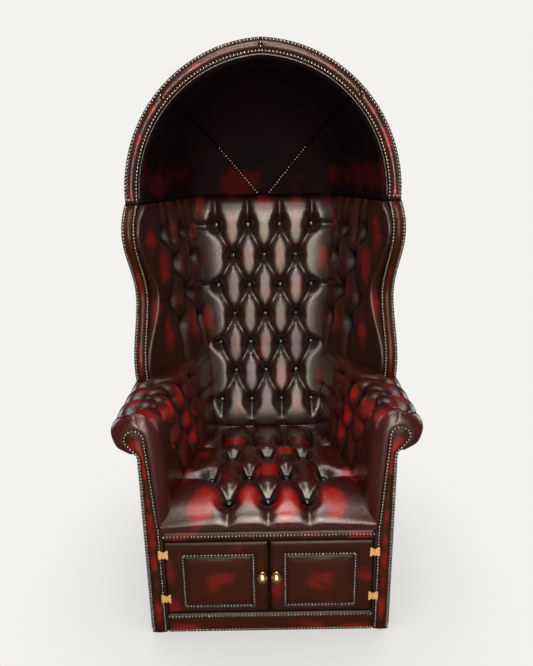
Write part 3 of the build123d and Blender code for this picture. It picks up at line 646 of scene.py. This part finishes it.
# The wing's front edge, from the arm up to the hood: height above the floor, depth.
EDGE = [(670, 292), (690, 282), (710, 276), (730, 271), (750, 270), (770, 271), (800, 277), (830, 288), (860, 302),
        (890, 316), (915, 326), (940, 333), (960, 336), (975, 335), (990, 332), (1010, 325), (1035, 312),
        (1060, 297), (1085, 281), (1105, 270), (1125, 261), (1150, 255), (1165, 255), (1180, 258), (1195, 263),
        (1210, 273), (1220, 281), (1230, 291), (1243, 306)]


def edge_depth(z):
    return np.interp(z, *np.transpose(EDGE))


def wall_half(depth):
    return WING_HALF - (depth - RIM_DEPTH) * 45 / 394


def build_wing_facing():
    z = np.linspace(702, SPRING, 150)
    slope = np.gradient(edge_depth(z), z)[:, None]
    z = z[:, None]
    depth = edge_depth(z)
    across = np.linspace(0, BAND, BAND_POINTS)
    rise = band_rise(np.minimum(np.minimum(across, BAND - across), SPRING + 0.5 - z), BAND / 2)
    lean = 1 / np.sqrt(1 + slope ** 2)
    out = (9 * rise - 1.5) * lean
    points = stack(wall_half(depth) - BAND + across, FRONT + depth - out,
                   np.minimum(z + slope * out * lean, SPRING))
    streaks = 0.5 + 0.5 * np.sin(z / 37 + 1.1 * np.sin(z / 19))
    facing_pair("wing_facing", "wing_facing", points, depth + 13, PANEL_LEATHER, 0.3 + 0.6 * rise,
                np.clip(rise * 1.4 - 0.8, 0, 1) * streaks)


build_wing_facing()


# Wing pads: the tufted inner faces, from the front edge back to the back pad

WING_SLANT, WING_FOOT = 1.1, 690.0


def wing_rear(z):
    return 578 + 7 * (z - WING_FOOT) / (SPRING - WING_FOOT)


def wing_face(depth, z):
    part = (z - WING_FOOT) / (SPRING - WING_FOOT)
    front_x, rear_x = 374 - 12 * part, 205 + 38 * part
    return front_x + (rear_x - front_x) * (depth - 250) / (wing_rear(z) - 250)


def build_wing_pad():
    z = np.linspace(693, 1240, 170)[:, None]
    start = edge_depth(z) + 2
    depth = start + (wing_rear(z) + 12 - start) * np.linspace(0, 1, 96)
    z = np.broadcast_to(z, depth.shape)
    s = depth * WING_SLANT
    rows = [[(c * WING_SLANT, ROW_TOP - ROW_PITCH * index) for c in ((396, 504), (450, 556))[index % 2]]
            for index in range(4)]
    buttons = [place for row in rows for place in row]
    folds = diamond_folds(rows, 135, 0.6)
    folds += [(row[-1], (680, row[-1][1]), 0.4, 0.5) for row in rows[0::2]]
    folds += [((c, height), (c - 26, SPRING + 20), 0.3, 0.5) for c, height in rows[0]]
    folds += [((c + 55, height - 30), (c + 20, SPRING + 20), 0.3, 0.5) for c, height in rows[0]]
    folds += [((c, height), (c - 4, 640), 0.3, 0.5) for c, height in rows[-1]]
    height, fold_finish_and_shade = quilted(s, z, folds, buttons, 16, 26, 1.3)
    # Towards the front the leather lies smooth, with one small pleat out of each front button.
    strip = 1 - smooth(52, 92, depth - start)
    pleats = sum(np.exp(-((z - row[0][1] - 2) / 5) ** 2) for row in rows[0::2])
    height = height * (1 - strip) + strip * (0.84 - 0.14 * pleats * smooth(4, 24, depth - start))
    height = height * (0.72 + 0.28 * bulge((depth - start) / 12)) * (0.5 + 0.5 * bulge((SPRING - z) / 20))
    lift = 36 * height - 25 + 0.5 * pull_marks(s, z, buttons, 12, 24)
    rub = rub_marks(s, z, between(rows, 0.75), 26, 56, 3.0)
    normal = np.array([-0.93, -0.37, 0.0])
    points = stack(wing_face(depth, z), FRONT + depth, z) + normal * lift[..., None]
    # The leather folds back beside the facing and is nailed there.
    points[:, 0, 1] = FRONT + start[:, 0] + 4

    def behind(p):
        return (wall_half(p[1] - FRONT) - 24, p[1] + 4, p[2])

    for word, flip in SIDES:
        closed_sheet(word + "_wing_leather", points, behind, WING_LEATHER, fold_finish_and_shade, rub, [word + "_wing_pad"], flip,
                     slot="stuffed_leather")
        for c, height in buttons:
            d = c / WING_SLANT
            place_button(np.array([wing_face(d, height), FRONT + d, height]) - normal * 20, normal, flip)


build_wing_pad()


# Hood: the padded rim, the lining and the outer covers

LINING_CORNERS, LINING_BENDS = (0.72, 0.775, 0.82, 0.85, 0.86), (0.18, 0.4, 0.6, 0.75, 0.8)
COVER_CORNERS, COVER_BENDS = (0.888, 0.9, 0.912, 0.918, 0.92), (0.1316, 0.3, 0.48, 0.66, 0.76)
LINING_ROWS, LINING_STEPS, HOOD_START = 91, 90, RIM_DEPTH + 12
LINING_FOCUS, COVER_FOCUS = np.array([[0, FRONT + 420, SPRING + 60], [0, FRONT + 420, SPRING - 60]])


def arch_reach(angle):
    """How far the arch lies from the middle of its springing line: each half has its own centre."""
    toward = ARCH_OFFSET * np.cos(angle) - ARCH_LIFT * np.sin(angle)
    return np.sqrt(toward ** 2 + ARCH_RADIUS ** 2 - ARCH_OFFSET ** 2 - ARCH_LIFT ** 2) - toward


def build_rims():
    low = -math.asin(ARCH_LIFT / ARCH_RADIUS)
    high = math.acos(ARCH_OFFSET / (ARCH_RADIUS - BAND / 2))
    across = np.linspace(0, BAND, BAND_POINTS)
    for first, last, word in ((0.0, 0.5, "low"), (0.5, 1.0, "high")):
        t = np.linspace(first, last, 90)[:, None]
        run, rest = ((high - low) * 400 * part for part in (t - first, last - t))
        pinch = (1 - 0.45 * np.exp(-run / 7)) * (1 - 0.45 * np.exp(-rest / 7))
        rise = band_rise(np.minimum(across, BAND - across), BAND / 2) * pinch
        place = arc(-ARCH_OFFSET, SPRING + ARCH_LIFT, ARCH_RADIUS - across, low + (high - low) * t)
        place = np.maximum(place, (0.0, SPRING))
        points = stack(place[..., 0], FRONT + RIM_DEPTH + 6 - 12 * rise, place[..., 1])
        streaks = 0.5 + 0.5 * np.sin(t * 31 + 1.2 * np.sin(t * 17))
        facing_pair("rim_" + word, "rim_" + word, points, RIM_DEPTH + 13, LEATHER, 0.3 + 0.6 * rise,
                    np.clip(rise * 1.3 - 0.7, 0, 1) * streaks)


build_rims()


def filleted(out, start, corner_out, end, pole, bend, count):
    """Points along a path out of straight, bend and straight, at even steps."""
    a, b, c = Vector((out, start)), Vector((corner_out, end)), Vector((pole, end))
    before, after = (a - b).normalized(), (c - b).normalized()
    half = before.angle(after) / 2
    back = min(bend / math.tan(half), (a - b).length * 0.98, (c - b).length * 0.98)
    bend = back * math.tan(half)
    centre = b + (before + after).normalized() * (bend / math.sin(half))
    enter, leave = b + before * back, b + after * back
    angle0, angle1 = (math.atan2(*(end_point - centre).yx) for end_point in (enter, leave))
    sweep = (angle1 - angle0 + math.pi) % (2 * math.pi) - math.pi
    dense = np.concatenate([np.linspace(a, enter, 40, endpoint=False),
                            arc(*centre, bend, np.linspace(angle0, angle0 + sweep, 60, endpoint=False)),
                            np.linspace(leave, c, 41)])
    whole = lengths(dense)
    even = np.linspace(0, whole[-1], count)
    return [np.interp(even, whole, dense[:, k]) for k in (0, 1)]


def hood_sheet(angles, inset, end, corners, bends, span, count):
    """Rows from the hood's mouth to its pole behind, one at each angle round the arch."""
    rows = []
    for angle in angles:
        side = min(angle, math.pi - angle)
        station = side / (math.pi / 8)
        corner = np.interp(station, range(5), corners)
        bend = np.interp(station, range(5), bends) * span - max(inset - 5, 0) * 0.2
        reach = arch_reach(side)
        out, depth = filleted(reach - inset, HOOD_START, reach * corner - inset, end, 4, bend, count)
        rows.append(stack(out * math.cos(angle), FRONT + depth, SPRING + out * math.sin(angle)))
    return np.array(rows)


lining_table = hood_sheet(np.linspace(0, math.pi, LINING_ROWS), 55, LINING_DEPTH, LINING_CORNERS, LINING_BENDS,
                          LINING_DEPTH - RIM_DEPTH, LINING_STEPS)


def lining_at(angle, step):
    """Points of the lining: angle round the arch, step from its mouth to its pole."""
    place = np.clip(angle / math.pi, 0, 1) * (LINING_ROWS - 1)
    i = np.minimum(place.astype(int), LINING_ROWS - 2)
    part = (place - i)[..., None]
    return lining_table[i, step] * (1 - part) + lining_table[i + 1, step] * part


def seam_angles():
    """The seam's angle at each step, so that it looks straight from the front."""
    foot_x, top_x, top_z = 15.0, 247.0, 278.0
    angles = np.radians(np.linspace(0.5, 60, 240))
    spots = lining_at(angles[:, None], np.arange(LINING_STEPS)[None])
    off = (spots[..., 0] - foot_x) * top_z - (spots[..., 2] - SPRING) * (top_x - foot_x)
    return angles[np.argmin(np.abs(off), axis=0)]


SEAM_ANGLES = seam_angles()


def build_lining():
    step = np.arange(LINING_STEPS)
    bounds = [np.zeros(LINING_STEPS), SEAM_ANGLES, math.pi - SEAM_ANGLES, np.full(LINING_STEPS, math.pi)]
    for index, (name, count) in enumerate((("right", 44), ("middle", 90), ("left", 44))):
        name = "hood_lining_" + name
        w = np.linspace(0, 1, count)[:, None]
        first, last = bounds[index], bounds[index + 1]
        angle = first + (last - first) * w
        mouth = angle[:, 0]
        reach = arch_reach(np.minimum(mouth, math.pi - mouth))
        # The lining comes out from behind the rim's inner edge in a small roll.
        lips = [stack((reach - inset) * np.cos(mouth), FRONT + RIM_DEPTH + depth,
                      SPRING + (reach - inset) * np.sin(mouth))
                for inset, depth in ((39.5, 13), (41, 8), (46, 5), (51, 7))]
        inner = np.concatenate([np.stack(lips, axis=1), lining_at(angle, step[None])], axis=1)
        # Each panel is pillowed between its seams. The two outer panels have a seam on one side only.
        span = (last - first) * np.minimum(w, 1 - w) * np.linspace(370, 40, LINING_STEPS)
        plain = (w < 0.5, w > 1, w > 0.5)[index]
        pillow = np.where(plain, 1, bulge(span / 16))
        pillow = np.concatenate([np.repeat(pillow[:, :1], len(lips), axis=1), pillow], axis=1)
        toward = unit(LINING_FOCUS - inner)
        lift = 5 * pillow * smooth(0.03, 0.12, np.linspace(0, 1, inner.shape[1]))
        outer, inner = inner - toward * 3, inner + toward * lift[..., None]
        rub = rub_marks(inner[..., 0], inner[..., 2], [(-70, 1285), (60, 1290), (-300, 1300), (300, 1310)],
                        80, 50, 0.5)
        shell_sheet(name + "_leather", inner, outer, LINING_LEATHER_AND_SHADE, 0.3 + 0.4 * pillow, rub, [name])


build_lining()


def build_covers():
    for index, word in enumerate(("right_low", "right_high", "left_high", "left_low")):
        name = "hood_cover_" + word
        angles = math.pi / 4 * np.linspace(index, index + 1, 30)
        sheet, inner = (hood_sheet(angles, inset, BODY_DEPTH - inset, COVER_CORNERS, COVER_BENDS,
                                   BODY_DEPTH - RIM_DEPTH, 90) for inset in (0, 5))
        w = np.linspace(0, 1, 30)[:, None]
        pillow = (1 - np.exp(-np.minimum(w, 1 - w) * 20)) * (1 - np.exp(-40 * np.linspace(0, 1, 90)))
        sheet = sheet + unit(sheet - COVER_FOCUS) * 3 * pillow[..., None]
        shell_sheet(name + "_leather", sheet, inner, COVER_LEATHER, 0.25 + 0.35 * pillow, None, [name])


build_covers()


# Doors with their knobs, each riding its own hinge, and the facings of the seat rail and the plinth

def inside(box, x, z):
    """How far inside a box of left, foot, right and top each point lies, less than 0 outside it."""
    left, foot, right, top = box
    return np.minimum(np.minimum(x - left, right - x), np.minimum(z - foot, top - z))


def flat_grid(box, columns, rows):
    z, x = np.meshgrid(np.linspace(box[1], box[3], rows), np.linspace(box[0], box[2], columns), indexing="ij")
    return x, z


def behind_panel(p):
    return (p[0], FRONT + 8, p[2])


def build_door_panels():
    x, z = flat_grid(DOOR, 122, 100)
    # A padded field inside a flat border.
    in_field, in_door = inside(FIELD, x, z), inside(DOOR, x, z)
    from_field = np.hypot(np.maximum(np.maximum(FIELD[0] - x, x - FIELD[2]), 0),
                          np.maximum(np.maximum(FIELD[1] - z, z - FIELD[3]), 0))
    field = 7 * (1 - np.exp(-np.maximum(in_field, 0) / 14))
    border = 3.5 * (1 - np.exp(-np.minimum(in_door, from_field) / 5))
    rise = np.where(in_field > 0, field, border)
    rise += 0.5 * np.sin(x / 23 + 1.3 * np.sin(z / 31)) * (in_field > 12)
    points = stack(x, FRONT + 1.5 - rise + 5 * np.exp(-in_door / 2.2), z)
    # The leather is rubbed in the middle of the field, and in some places on the border.
    worn = {"right": [(150, 182), (283, 205), (275, 120), (28, 150), (180, 84)],
            "left": [(146, 186), (290, 230), (24, 262), (286, 110), (90, 306)]}
    for word, flip in SIDES:
        rub = np.maximum(0.75 * rub_marks(x, z, worn[word][:1], 46, 38),
                         0.7 * rub_marks(x, z, worn[word][1:], 30, 44, 1.0))
        closed_sheet(word + "_door_leather", points, behind_panel, PANEL_LEATHER, np.clip(0.15 + rise / 9, 0, 1),
                     rub, [word + "_door_panel"], flip, body=word + "_door")


build_door_panels()


def build_knobs():
    """Knobs turned about an axis that points forward: radius, and distance out from the door."""
    profile = [(0, -1), (11, -1), (11, 0.8), (10.2, 1.8), (8.6, 2.2), (7.2, 3), (5.2, 3.6), (4.8, 5)]
    profile += [(15.5 * math.cos(t), 16 + 11.9 * math.sin(t)) for t in np.linspace(-1.15, math.pi / 2, 16)[:-1]]
    radius, out = np.transpose(profile + [(0, 27.9)])[..., None]
    turn = np.linspace(0, 2 * math.pi, 41)
    points = stack(20.5 + radius * np.cos(turn), FRONT - 1 - out, 203 + radius * np.sin(turn))
    for word, flip in SIDES:
        make_object(word + "_knob_brass", points.reshape(-1, 3) * flip, grid_faces(*points.shape[:2]), BRASS,
                    None, None, [word + "_door_knob"], word + "_door", "polished_brass")


build_knobs()


def build_rail(name, node, foot, top, rise):
    box = (-306, foot, 306, top)
    x, z = flat_grid(box, 160, 24)
    lift = rise * (1 - np.exp(-inside(box, x, z) / 5)) - 2
    worn = [(-250, foot + 18), (-90, foot + 12), (120, foot + 20), (262, foot + 14)]
    closed_sheet(name, stack(x, FRONT + 1 - lift, z), behind_panel, PANEL_LEATHER, np.clip(0.2 + lift / 8, 0, 1),
                 rub_marks(x, z, worn, 46, 18, foot), [node])


build_rail("seat_rail_leather", "seat_rail_facing", 321, 351, 6)
build_rail("plinth_leather", "plinth_facing", 0.5, 69.5, 7)


# Nails and buttons: one tree that sets low domes along lines or on points

def stud_tree():
    tree = bpy.data.node_groups.new("studs", "GeometryNodeTree")
    face = tree.interface
    for label, kind in (("Geometry", "Geometry"), ("Along Lines", "Bool"), ("Pitch", "Float"), ("Radius", "Float"),
                        ("Height", "Float"), ("Sides", "Int"), ("Rings", "Int"), ("Material", "Material")):
        face.new_socket(label, in_out="INPUT", socket_type="NodeSocket" + kind)
    face.new_socket("Geometry", in_out="OUTPUT", socket_type="NodeSocketGeometry")
    given = add(tree, "NodeGroupInput").outputs
    curve = add(tree, "GeometryNodeMeshToCurve", {"Mesh": given["Geometry"]})
    even = add(tree, "GeometryNodeResampleCurve", {"Curve": curve.outputs["Curve"], "Length": given["Pitch"]},
               mode="LENGTH")
    spots = add(tree, "GeometryNodeSwitch", {"Switch": given["Along Lines"], "False": given["Geometry"],
                                             "True": even.outputs["Curve"]}, input_type="GEOMETRY")
    facing = add(tree, "GeometryNodeInputNamedAttribute", {"Name": "facing"}, data_type="FLOAT_VECTOR")
    turn = add(tree, "FunctionNodeAlignRotationToVector", {"Vector": facing.outputs["Attribute"]}, axis="Z")
    ball = add(tree, "GeometryNodeMeshUVSphere", {"Segments": given["Sides"], "Rings": given["Rings"],
                                                  "Radius": 1.0})
    size = add(tree, "ShaderNodeCombineXYZ", {"X": given["Radius"], "Y": given["Radius"], "Z": given["Height"]})
    placed = add(tree, "GeometryNodeInstanceOnPoints", {
        "Points": spots.outputs["Output"], "Instance": ball.outputs["Mesh"], "Rotation": turn.outputs["Rotation"],
        "Scale": size.outputs["Vector"]})
    real = add(tree, "GeometryNodeRealizeInstances", {"Geometry": placed.outputs["Instances"]})
    smoothed = add(tree, "GeometryNodeSetShadeSmooth", {"Geometry": real.outputs["Geometry"], "Shade Smooth": True})
    painted = add(tree, "GeometryNodeSetMaterial", {"Geometry": smoothed.outputs["Geometry"],
                                                    "Material": given["Material"]})
    add(tree, "NodeGroupOutput", {"Geometry": painted.outputs["Geometry"]})
    return tree


STUDS = stud_tree()


def set_studs(name, points, edges, normals, body, slot, size, material, replaces=()):
    """Domes on the points, or along the edges where there are any: radius, height, sides and rings."""
    source = bpy.data.meshes.new(name + "_places")
    source.from_pydata([tuple(p) for p in np.asarray(points) * MM], edges, [])
    data = source.attributes.new("facing", "FLOAT_VECTOR", "POINT")
    data.data.foreach_set("vector", np.asarray(normals, dtype=np.float32).reshape(-1))
    holder = new_object(name + "_holder", source)
    modifier = holder.modifiers.new("studs", "NODES")
    modifier.node_group = STUDS
    radius, height, sides, rings = size
    settings = {"Along Lines": bool(edges), "Pitch": NAIL_PITCH * MM, "Radius": radius * MM, "Height": height * MM,
                "Sides": sides, "Rings": rings, "Material": material}
    for item in STUDS.interface.items_tree:
        if item.in_out == "INPUT" and item.name in settings:
            modifier[item.identifier] = settings[item.name]
    graph = bpy.context.evaluated_depsgraph_get()
    mesh = bpy.data.meshes.new_from_object(holder.evaluated_get(graph))
    bpy.data.objects.remove(holder)
    declare(new_object(name, mesh), body, slot, replaces)


nail_lines = {"chair": [], "right_door": [], "left_door": []}


def nail_line(points, normals, on_door=False, both=True):
    """A row of nails, and its mirror image on the other side."""
    points = np.asarray(points, dtype=float)
    normals = np.broadcast_to(np.asarray(normals, dtype=float), points.shape)
    for word, flip in SIDES if both else SIDES[:1]:
        nail_lines[word + "_door" if on_door else "chair"].append((points * flip, normals * flip))


def arc_points(radius, start, end, depth, count=60):
    x, z = arc(-ARCH_OFFSET, SPRING + ARCH_LIFT, radius, np.linspace(start, end, count)).T
    return stack(x, FRONT + depth, z)


RIM_FOOT = math.radians(-1.2)


def build_piping():
    """The piped cord inside the rim's inner row of nails, from one arm of the arch to the other."""
    radius = ARCH_RADIUS - BAND - 3.5
    right = arc_points(radius, RIM_FOOT, math.acos(ARCH_OFFSET / radius), 307.0)
    line = np.concatenate([right, (right * SIDES[1][1])[-2::-1]])
    deep = np.array([0.0, 1.0, 0.0])
    side = np.cross(unit(np.gradient(line, axis=0)), deep)
    turn = np.linspace(0, 2 * math.pi, 11)[:, None]
    rings = line[:, None] + 2.6 * (np.cos(turn) * side[:, None] + np.sin(turn) * deep)
    size = 11 * len(line)
    faces = grid_faces(len(line), 11) + [tuple(range(10)), tuple(range(size - 2, size - 12, -1))]
    make_object("rim_piping", rings.reshape(-1, 3), faces, BACK_LEATHER, np.ones(size), None, ())


build_piping()


def lay_nails():
    front, right, rear = (0, -1, 0), (1, 0, 0), (0, 1, 0)
    foot, top = 12, SPRING - 9
    # The rim: a row along each edge of each half, and short rows across the joints.
    last = math.acos(ARCH_OFFSET / 400)
    middle, gap = (RIM_FOOT + last) / 2, 0.012
    for start, end in ((RIM_FOOT, middle), (middle, last)):
        for radius in (ARCH_RADIUS - 5.5, ARCH_RADIUS - BAND + 5):
            nail_line(arc_points(radius, start + gap, end - gap, 307.5), front)
    for angle in (RIM_FOOT + gap, middle):
        nail_line(arc_points(ARCH_RADIUS - np.array([15.3, 25.2]), angle, angle, 302.5, 2), front)
    apex = SPRING + ARCH_LIFT + math.sqrt((ARCH_RADIUS - 5.5) ** 2 - ARCH_OFFSET ** 2)
    nail_line([(0, FRONT + 302.5, apex - 9.8), (0, FRONT + 302.5, apex - 19.7)], front, both=False)
    # The wing's front edge.
    z = np.linspace(712, SPRING - 8, 90)
    depth = edge_depth(z)
    facing = unit(stack(0, -1, np.gradient(depth, z)))
    for inset in (5.5, BAND - 5):
        nail_line(stack(wall_half(depth) - inset, FRONT + depth, z), facing)
    # The arm's facing: round the scroll and down the outer edge, and in three parts up the inner one.
    z = np.linspace(372, SCROLL_Z, 60, endpoint=False)
    loop = np.concatenate([stack(facing_edges(z)[0] + 4.5, z),
                           arc(SCROLL_X, SCROLL_Z, SCROLL_RADIUS - 4.5, np.radians(np.linspace(180, -38, 60))),
                           [(372, 617), (357, 602), (350, 590), (349.5, 560), (349.5, foot)]])
    nail_line(stack(loop[:, 0], FRONT - 0.5, loop[:, 1]), front)
    for low_end, high_end in ((foot, 101), (147, 254), (300, 360)):
        nail_line([(314.5, FRONT - 0.5, low_end), (315, FRONT - 0.5, high_end)], front)
    # The seat rail and the plinth, the doors, and each outer panel of the sides and the back.
    for z0, reach, out in ((338, 300, -2.5), (355, 296, 9), (10, 300, -2.5), (60, 300, -2.5)):
        nail_line([(-reach, FRONT + out, z0), (reach, FRONT + out, z0)], front, both=False)
    corners = [(FIELD[i], FIELD[j]) for i, j in ((0, 1), (2, 1), (2, 3), (0, 3), (0, 1))]
    nail_line([(x, FRONT + 0.5, z) for x, z in corners], front, on_door=True)
    nail_line([(355.5, FRONT + d, z) for d, z in ((700, foot), (foot, foot), (foot, 584), (ARM_END, 584))], right)
    z = np.append(np.linspace(716, top, 90), [top] * 3)
    depth = np.append(edge_depth(z[:90]) + 15, (340, 500, 690))
    nail_line(stack(wall_half(depth) + 0.5, FRONT + depth, z), (0.994, 0.11, 0))
    back = FRONT + BODY_DEPTH + 0.5
    nail_line([(288, back, foot), (288, back, top)], rear)
    for z0 in (foot, top):
        nail_line([(-278, back, z0), (278, back, z0)], rear, both=False)
    # The seams of the lining, which are plain welts towards the rim.
    seam = lining_at(SEAM_ANGLES, np.arange(LINING_STEPS))
    seam = seam[(seam[:, 2] > SPRING + 6) & (seam[:, 2] < SPRING + 150)]
    toward = unit(LINING_FOCUS - seam)
    nail_line(seam + toward * 1.5, toward)


lay_nails()

for body, lines in nail_lines.items():
    spots, edges, ways = [], [], []
    for points, normals in lines:
        edges += [(len(spots) + i, len(spots) + i + 1) for i in range(len(points) - 1)]
        spots.extend(points)
        ways.extend(normals)
    set_studs(body + "_nails", spots, edges, ways, body, "polished_brass", (NAIL_RADIUS, 4.0, 9, 5), BRONZE)

set_studs("chair_buttons", [p for p, n in button_places], [], [n for p, n in button_places], "chair",
          "leather_buttons", (BUTTON_RADIUS, 6.0, 20, 9), BUTTON_LEATHER_PAINTED_SHADE,
          ["back_buttons", "seat_buttons", "side_buttons"])

# Countersunk brass screws, two to each leaf of the butterfly hinges.
for body, columns in (("chair", (315.6, -315.6)), ("left_door", (-293.4,)), ("right_door", (293.4,))):
    spots = [(x, FRONT - 1.4, z + up) for x in columns for z in HINGE_HEIGHTS for up in (-9.2, 9.2)]
    set_studs(body + "_hinge_screws", spots, [], [(0, -1, 0)] * len(spots), body, "polished_brass",
              (2.1, 0.8, 16, 4), BRASS)


# The CAD's own nodes that stay: boards and posts inside, hinges, and the plain covers outside

def paint_nodes():
    finishes = {"beech_frame": BEECH, "polished_brass": BRASS, "leather_cover": COVER_LEATHER,
                "stuffed_leather": LEATHER, "leather_buttons": LEATHER}
    # These parts show only in gaps and are painted dark: painted shade.
    edging = ("left_front_post", "right_front_post", "seat_rail", "plinth_rail", "left_door_board",
              "right_door_board", "door_stop", "hood_hoop")
    for entry in frame["record"]["subparts"]:
        piece = frame["nodes"][entry["node"]]
        piece.data.materials.clear()
        finish = GAP_SHADE_BEECH if entry["node"] in edging else finishes[entry["material_slot"]]
        piece.data.materials.append(SATIN if entry["node"].endswith("hinge_leaves") else finish)


paint_nodes()


# Floor, backdrop, light and camera

def build_stage():
    paper, tree = new_material("pale_backdrop")
    path = add(tree, "ShaderNodeLightPath").outputs
    seen = maths(tree, "MAXIMUM", path["Is Camera Ray"], path["Is Glossy Ray"])
    # The soft shadow round the chair's foot.
    near = add(tree, "ShaderNodeAmbientOcclusion", {"Distance": 0.5}, samples=16)
    strength = maths(tree, "MULTIPLY", spread(tree, path["Is Camera Ray"], 0.0, 1.0, 0.09),
                     spread(tree, near.outputs["AO"], 0.5, 0.97, 0.74))
    plain = add(tree, "ShaderNodeBsdfDiffuse", {"Color": linear("#d9d8d4")})
    white = add(tree, "ShaderNodeEmission", {"Color": linear("#f4f2ee"), "Strength": strength})
    finish_material(tree, add(tree, "ShaderNodeMixShader", {0: seen, 1: plain.outputs[0], 2: white.outputs[0]}))
    mesh = bpy.data.meshes.new("floor")
    mesh.from_pydata([(-6, -6, 0), (6, -6, 0), (6, 8, 0), (-6, 8, 0)], [], [(0, 1, 2, 3)])
    mesh.materials.append(paper)
    floor = new_object("floor", mesh)


build_stage()


def build_world():
    world, tree = empty_tree(bpy.data.worlds.new("studio"))
    path = add(tree, "ShaderNodeLightPath").outputs
    strength = spread(tree, path["Is Glossy Ray"], 0.0, 1.0, 0.2, 0.035)
    soft = add(tree, "ShaderNodeBackground", {"Color": linear("#ffffff"), "Strength": strength})
    white = add(tree, "ShaderNodeBackground", {"Color": linear("#f4f2ee"), "Strength": 1.0})
    mixed = add(tree, "ShaderNodeMixShader", {0: path["Is Camera Ray"], 1: soft.outputs[0], 2: white.outputs[0]})
    add(tree, "ShaderNodeOutputWorld", {"Surface": mixed.outputs[0]})
    bpy.context.scene.world = world


build_world()


def area_light(name, place, target, size, power, colour="#ffffff"):
    data = bpy.data.lights.new(name, "AREA")
    data.shape = "RECTANGLE"
    data.size, data.size_y = size
    data.energy = power
    data.color = linear(colour)[:3]
    light = new_object(name, data)
    light.location = place
    light.rotation_euler = (Vector(target) - Vector(place)).to_track_quat("-Z", "Y").to_euler()


area_light("key", (0.15, -2.9, 1.8), (0, 0.1, 1.0), (0.7, 1.9), 88, "#fff3e3")
area_light("low", (0.15, -2.9, 0.36), (0, 0.1, 0.5), (0.9, 0.5), 20, "#fff3e3")
area_light("top", (-0.1, -0.98, 3.1), (0, -0.3, 0.6), (1.5, 0.85), 40, "#fffaf2")
area_light("side_left", (-3.1, 0.9, 1.5), (0, 0.1, 0.8), (0.9, 2.0), 60)
area_light("side_right", (3.1, 0.9, 1.5), (0, 0.1, 0.8), (0.9, 2.0), 60)
area_light("rear", (0.4, 3.3, 2.1), (0, 0.3, 0.9), (1.6, 1.6), 80)

# The photo's camera: its focal length in pixels, the picture's height, and how far it looks down and leans.
FOCAL, PICTURE, SENSOR = 600, 666, 36
CAMERA_PLACE, DOWN, ROLL = (0.0033, -1.827, 1.40), math.radians(17.4), math.radians(-0.95)
camera_data = bpy.data.cameras.new("camera")
camera_data.sensor_width = SENSOR
camera_data.lens = FOCAL / PICTURE * SENSOR
camera_data.clip_end = 60
camera = new_object("camera", camera_data)
tilt = Matrix.Rotation(math.pi / 2 - DOWN, 4, "X") @ Matrix.Rotation(ROLL, 4, "Z")
camera.matrix_world = Matrix.Translation(CAMERA_PLACE) @ tilt
bpy.context.scene.camera = camera
bpy.context.scene.view_settings.view_transform = "Standard"
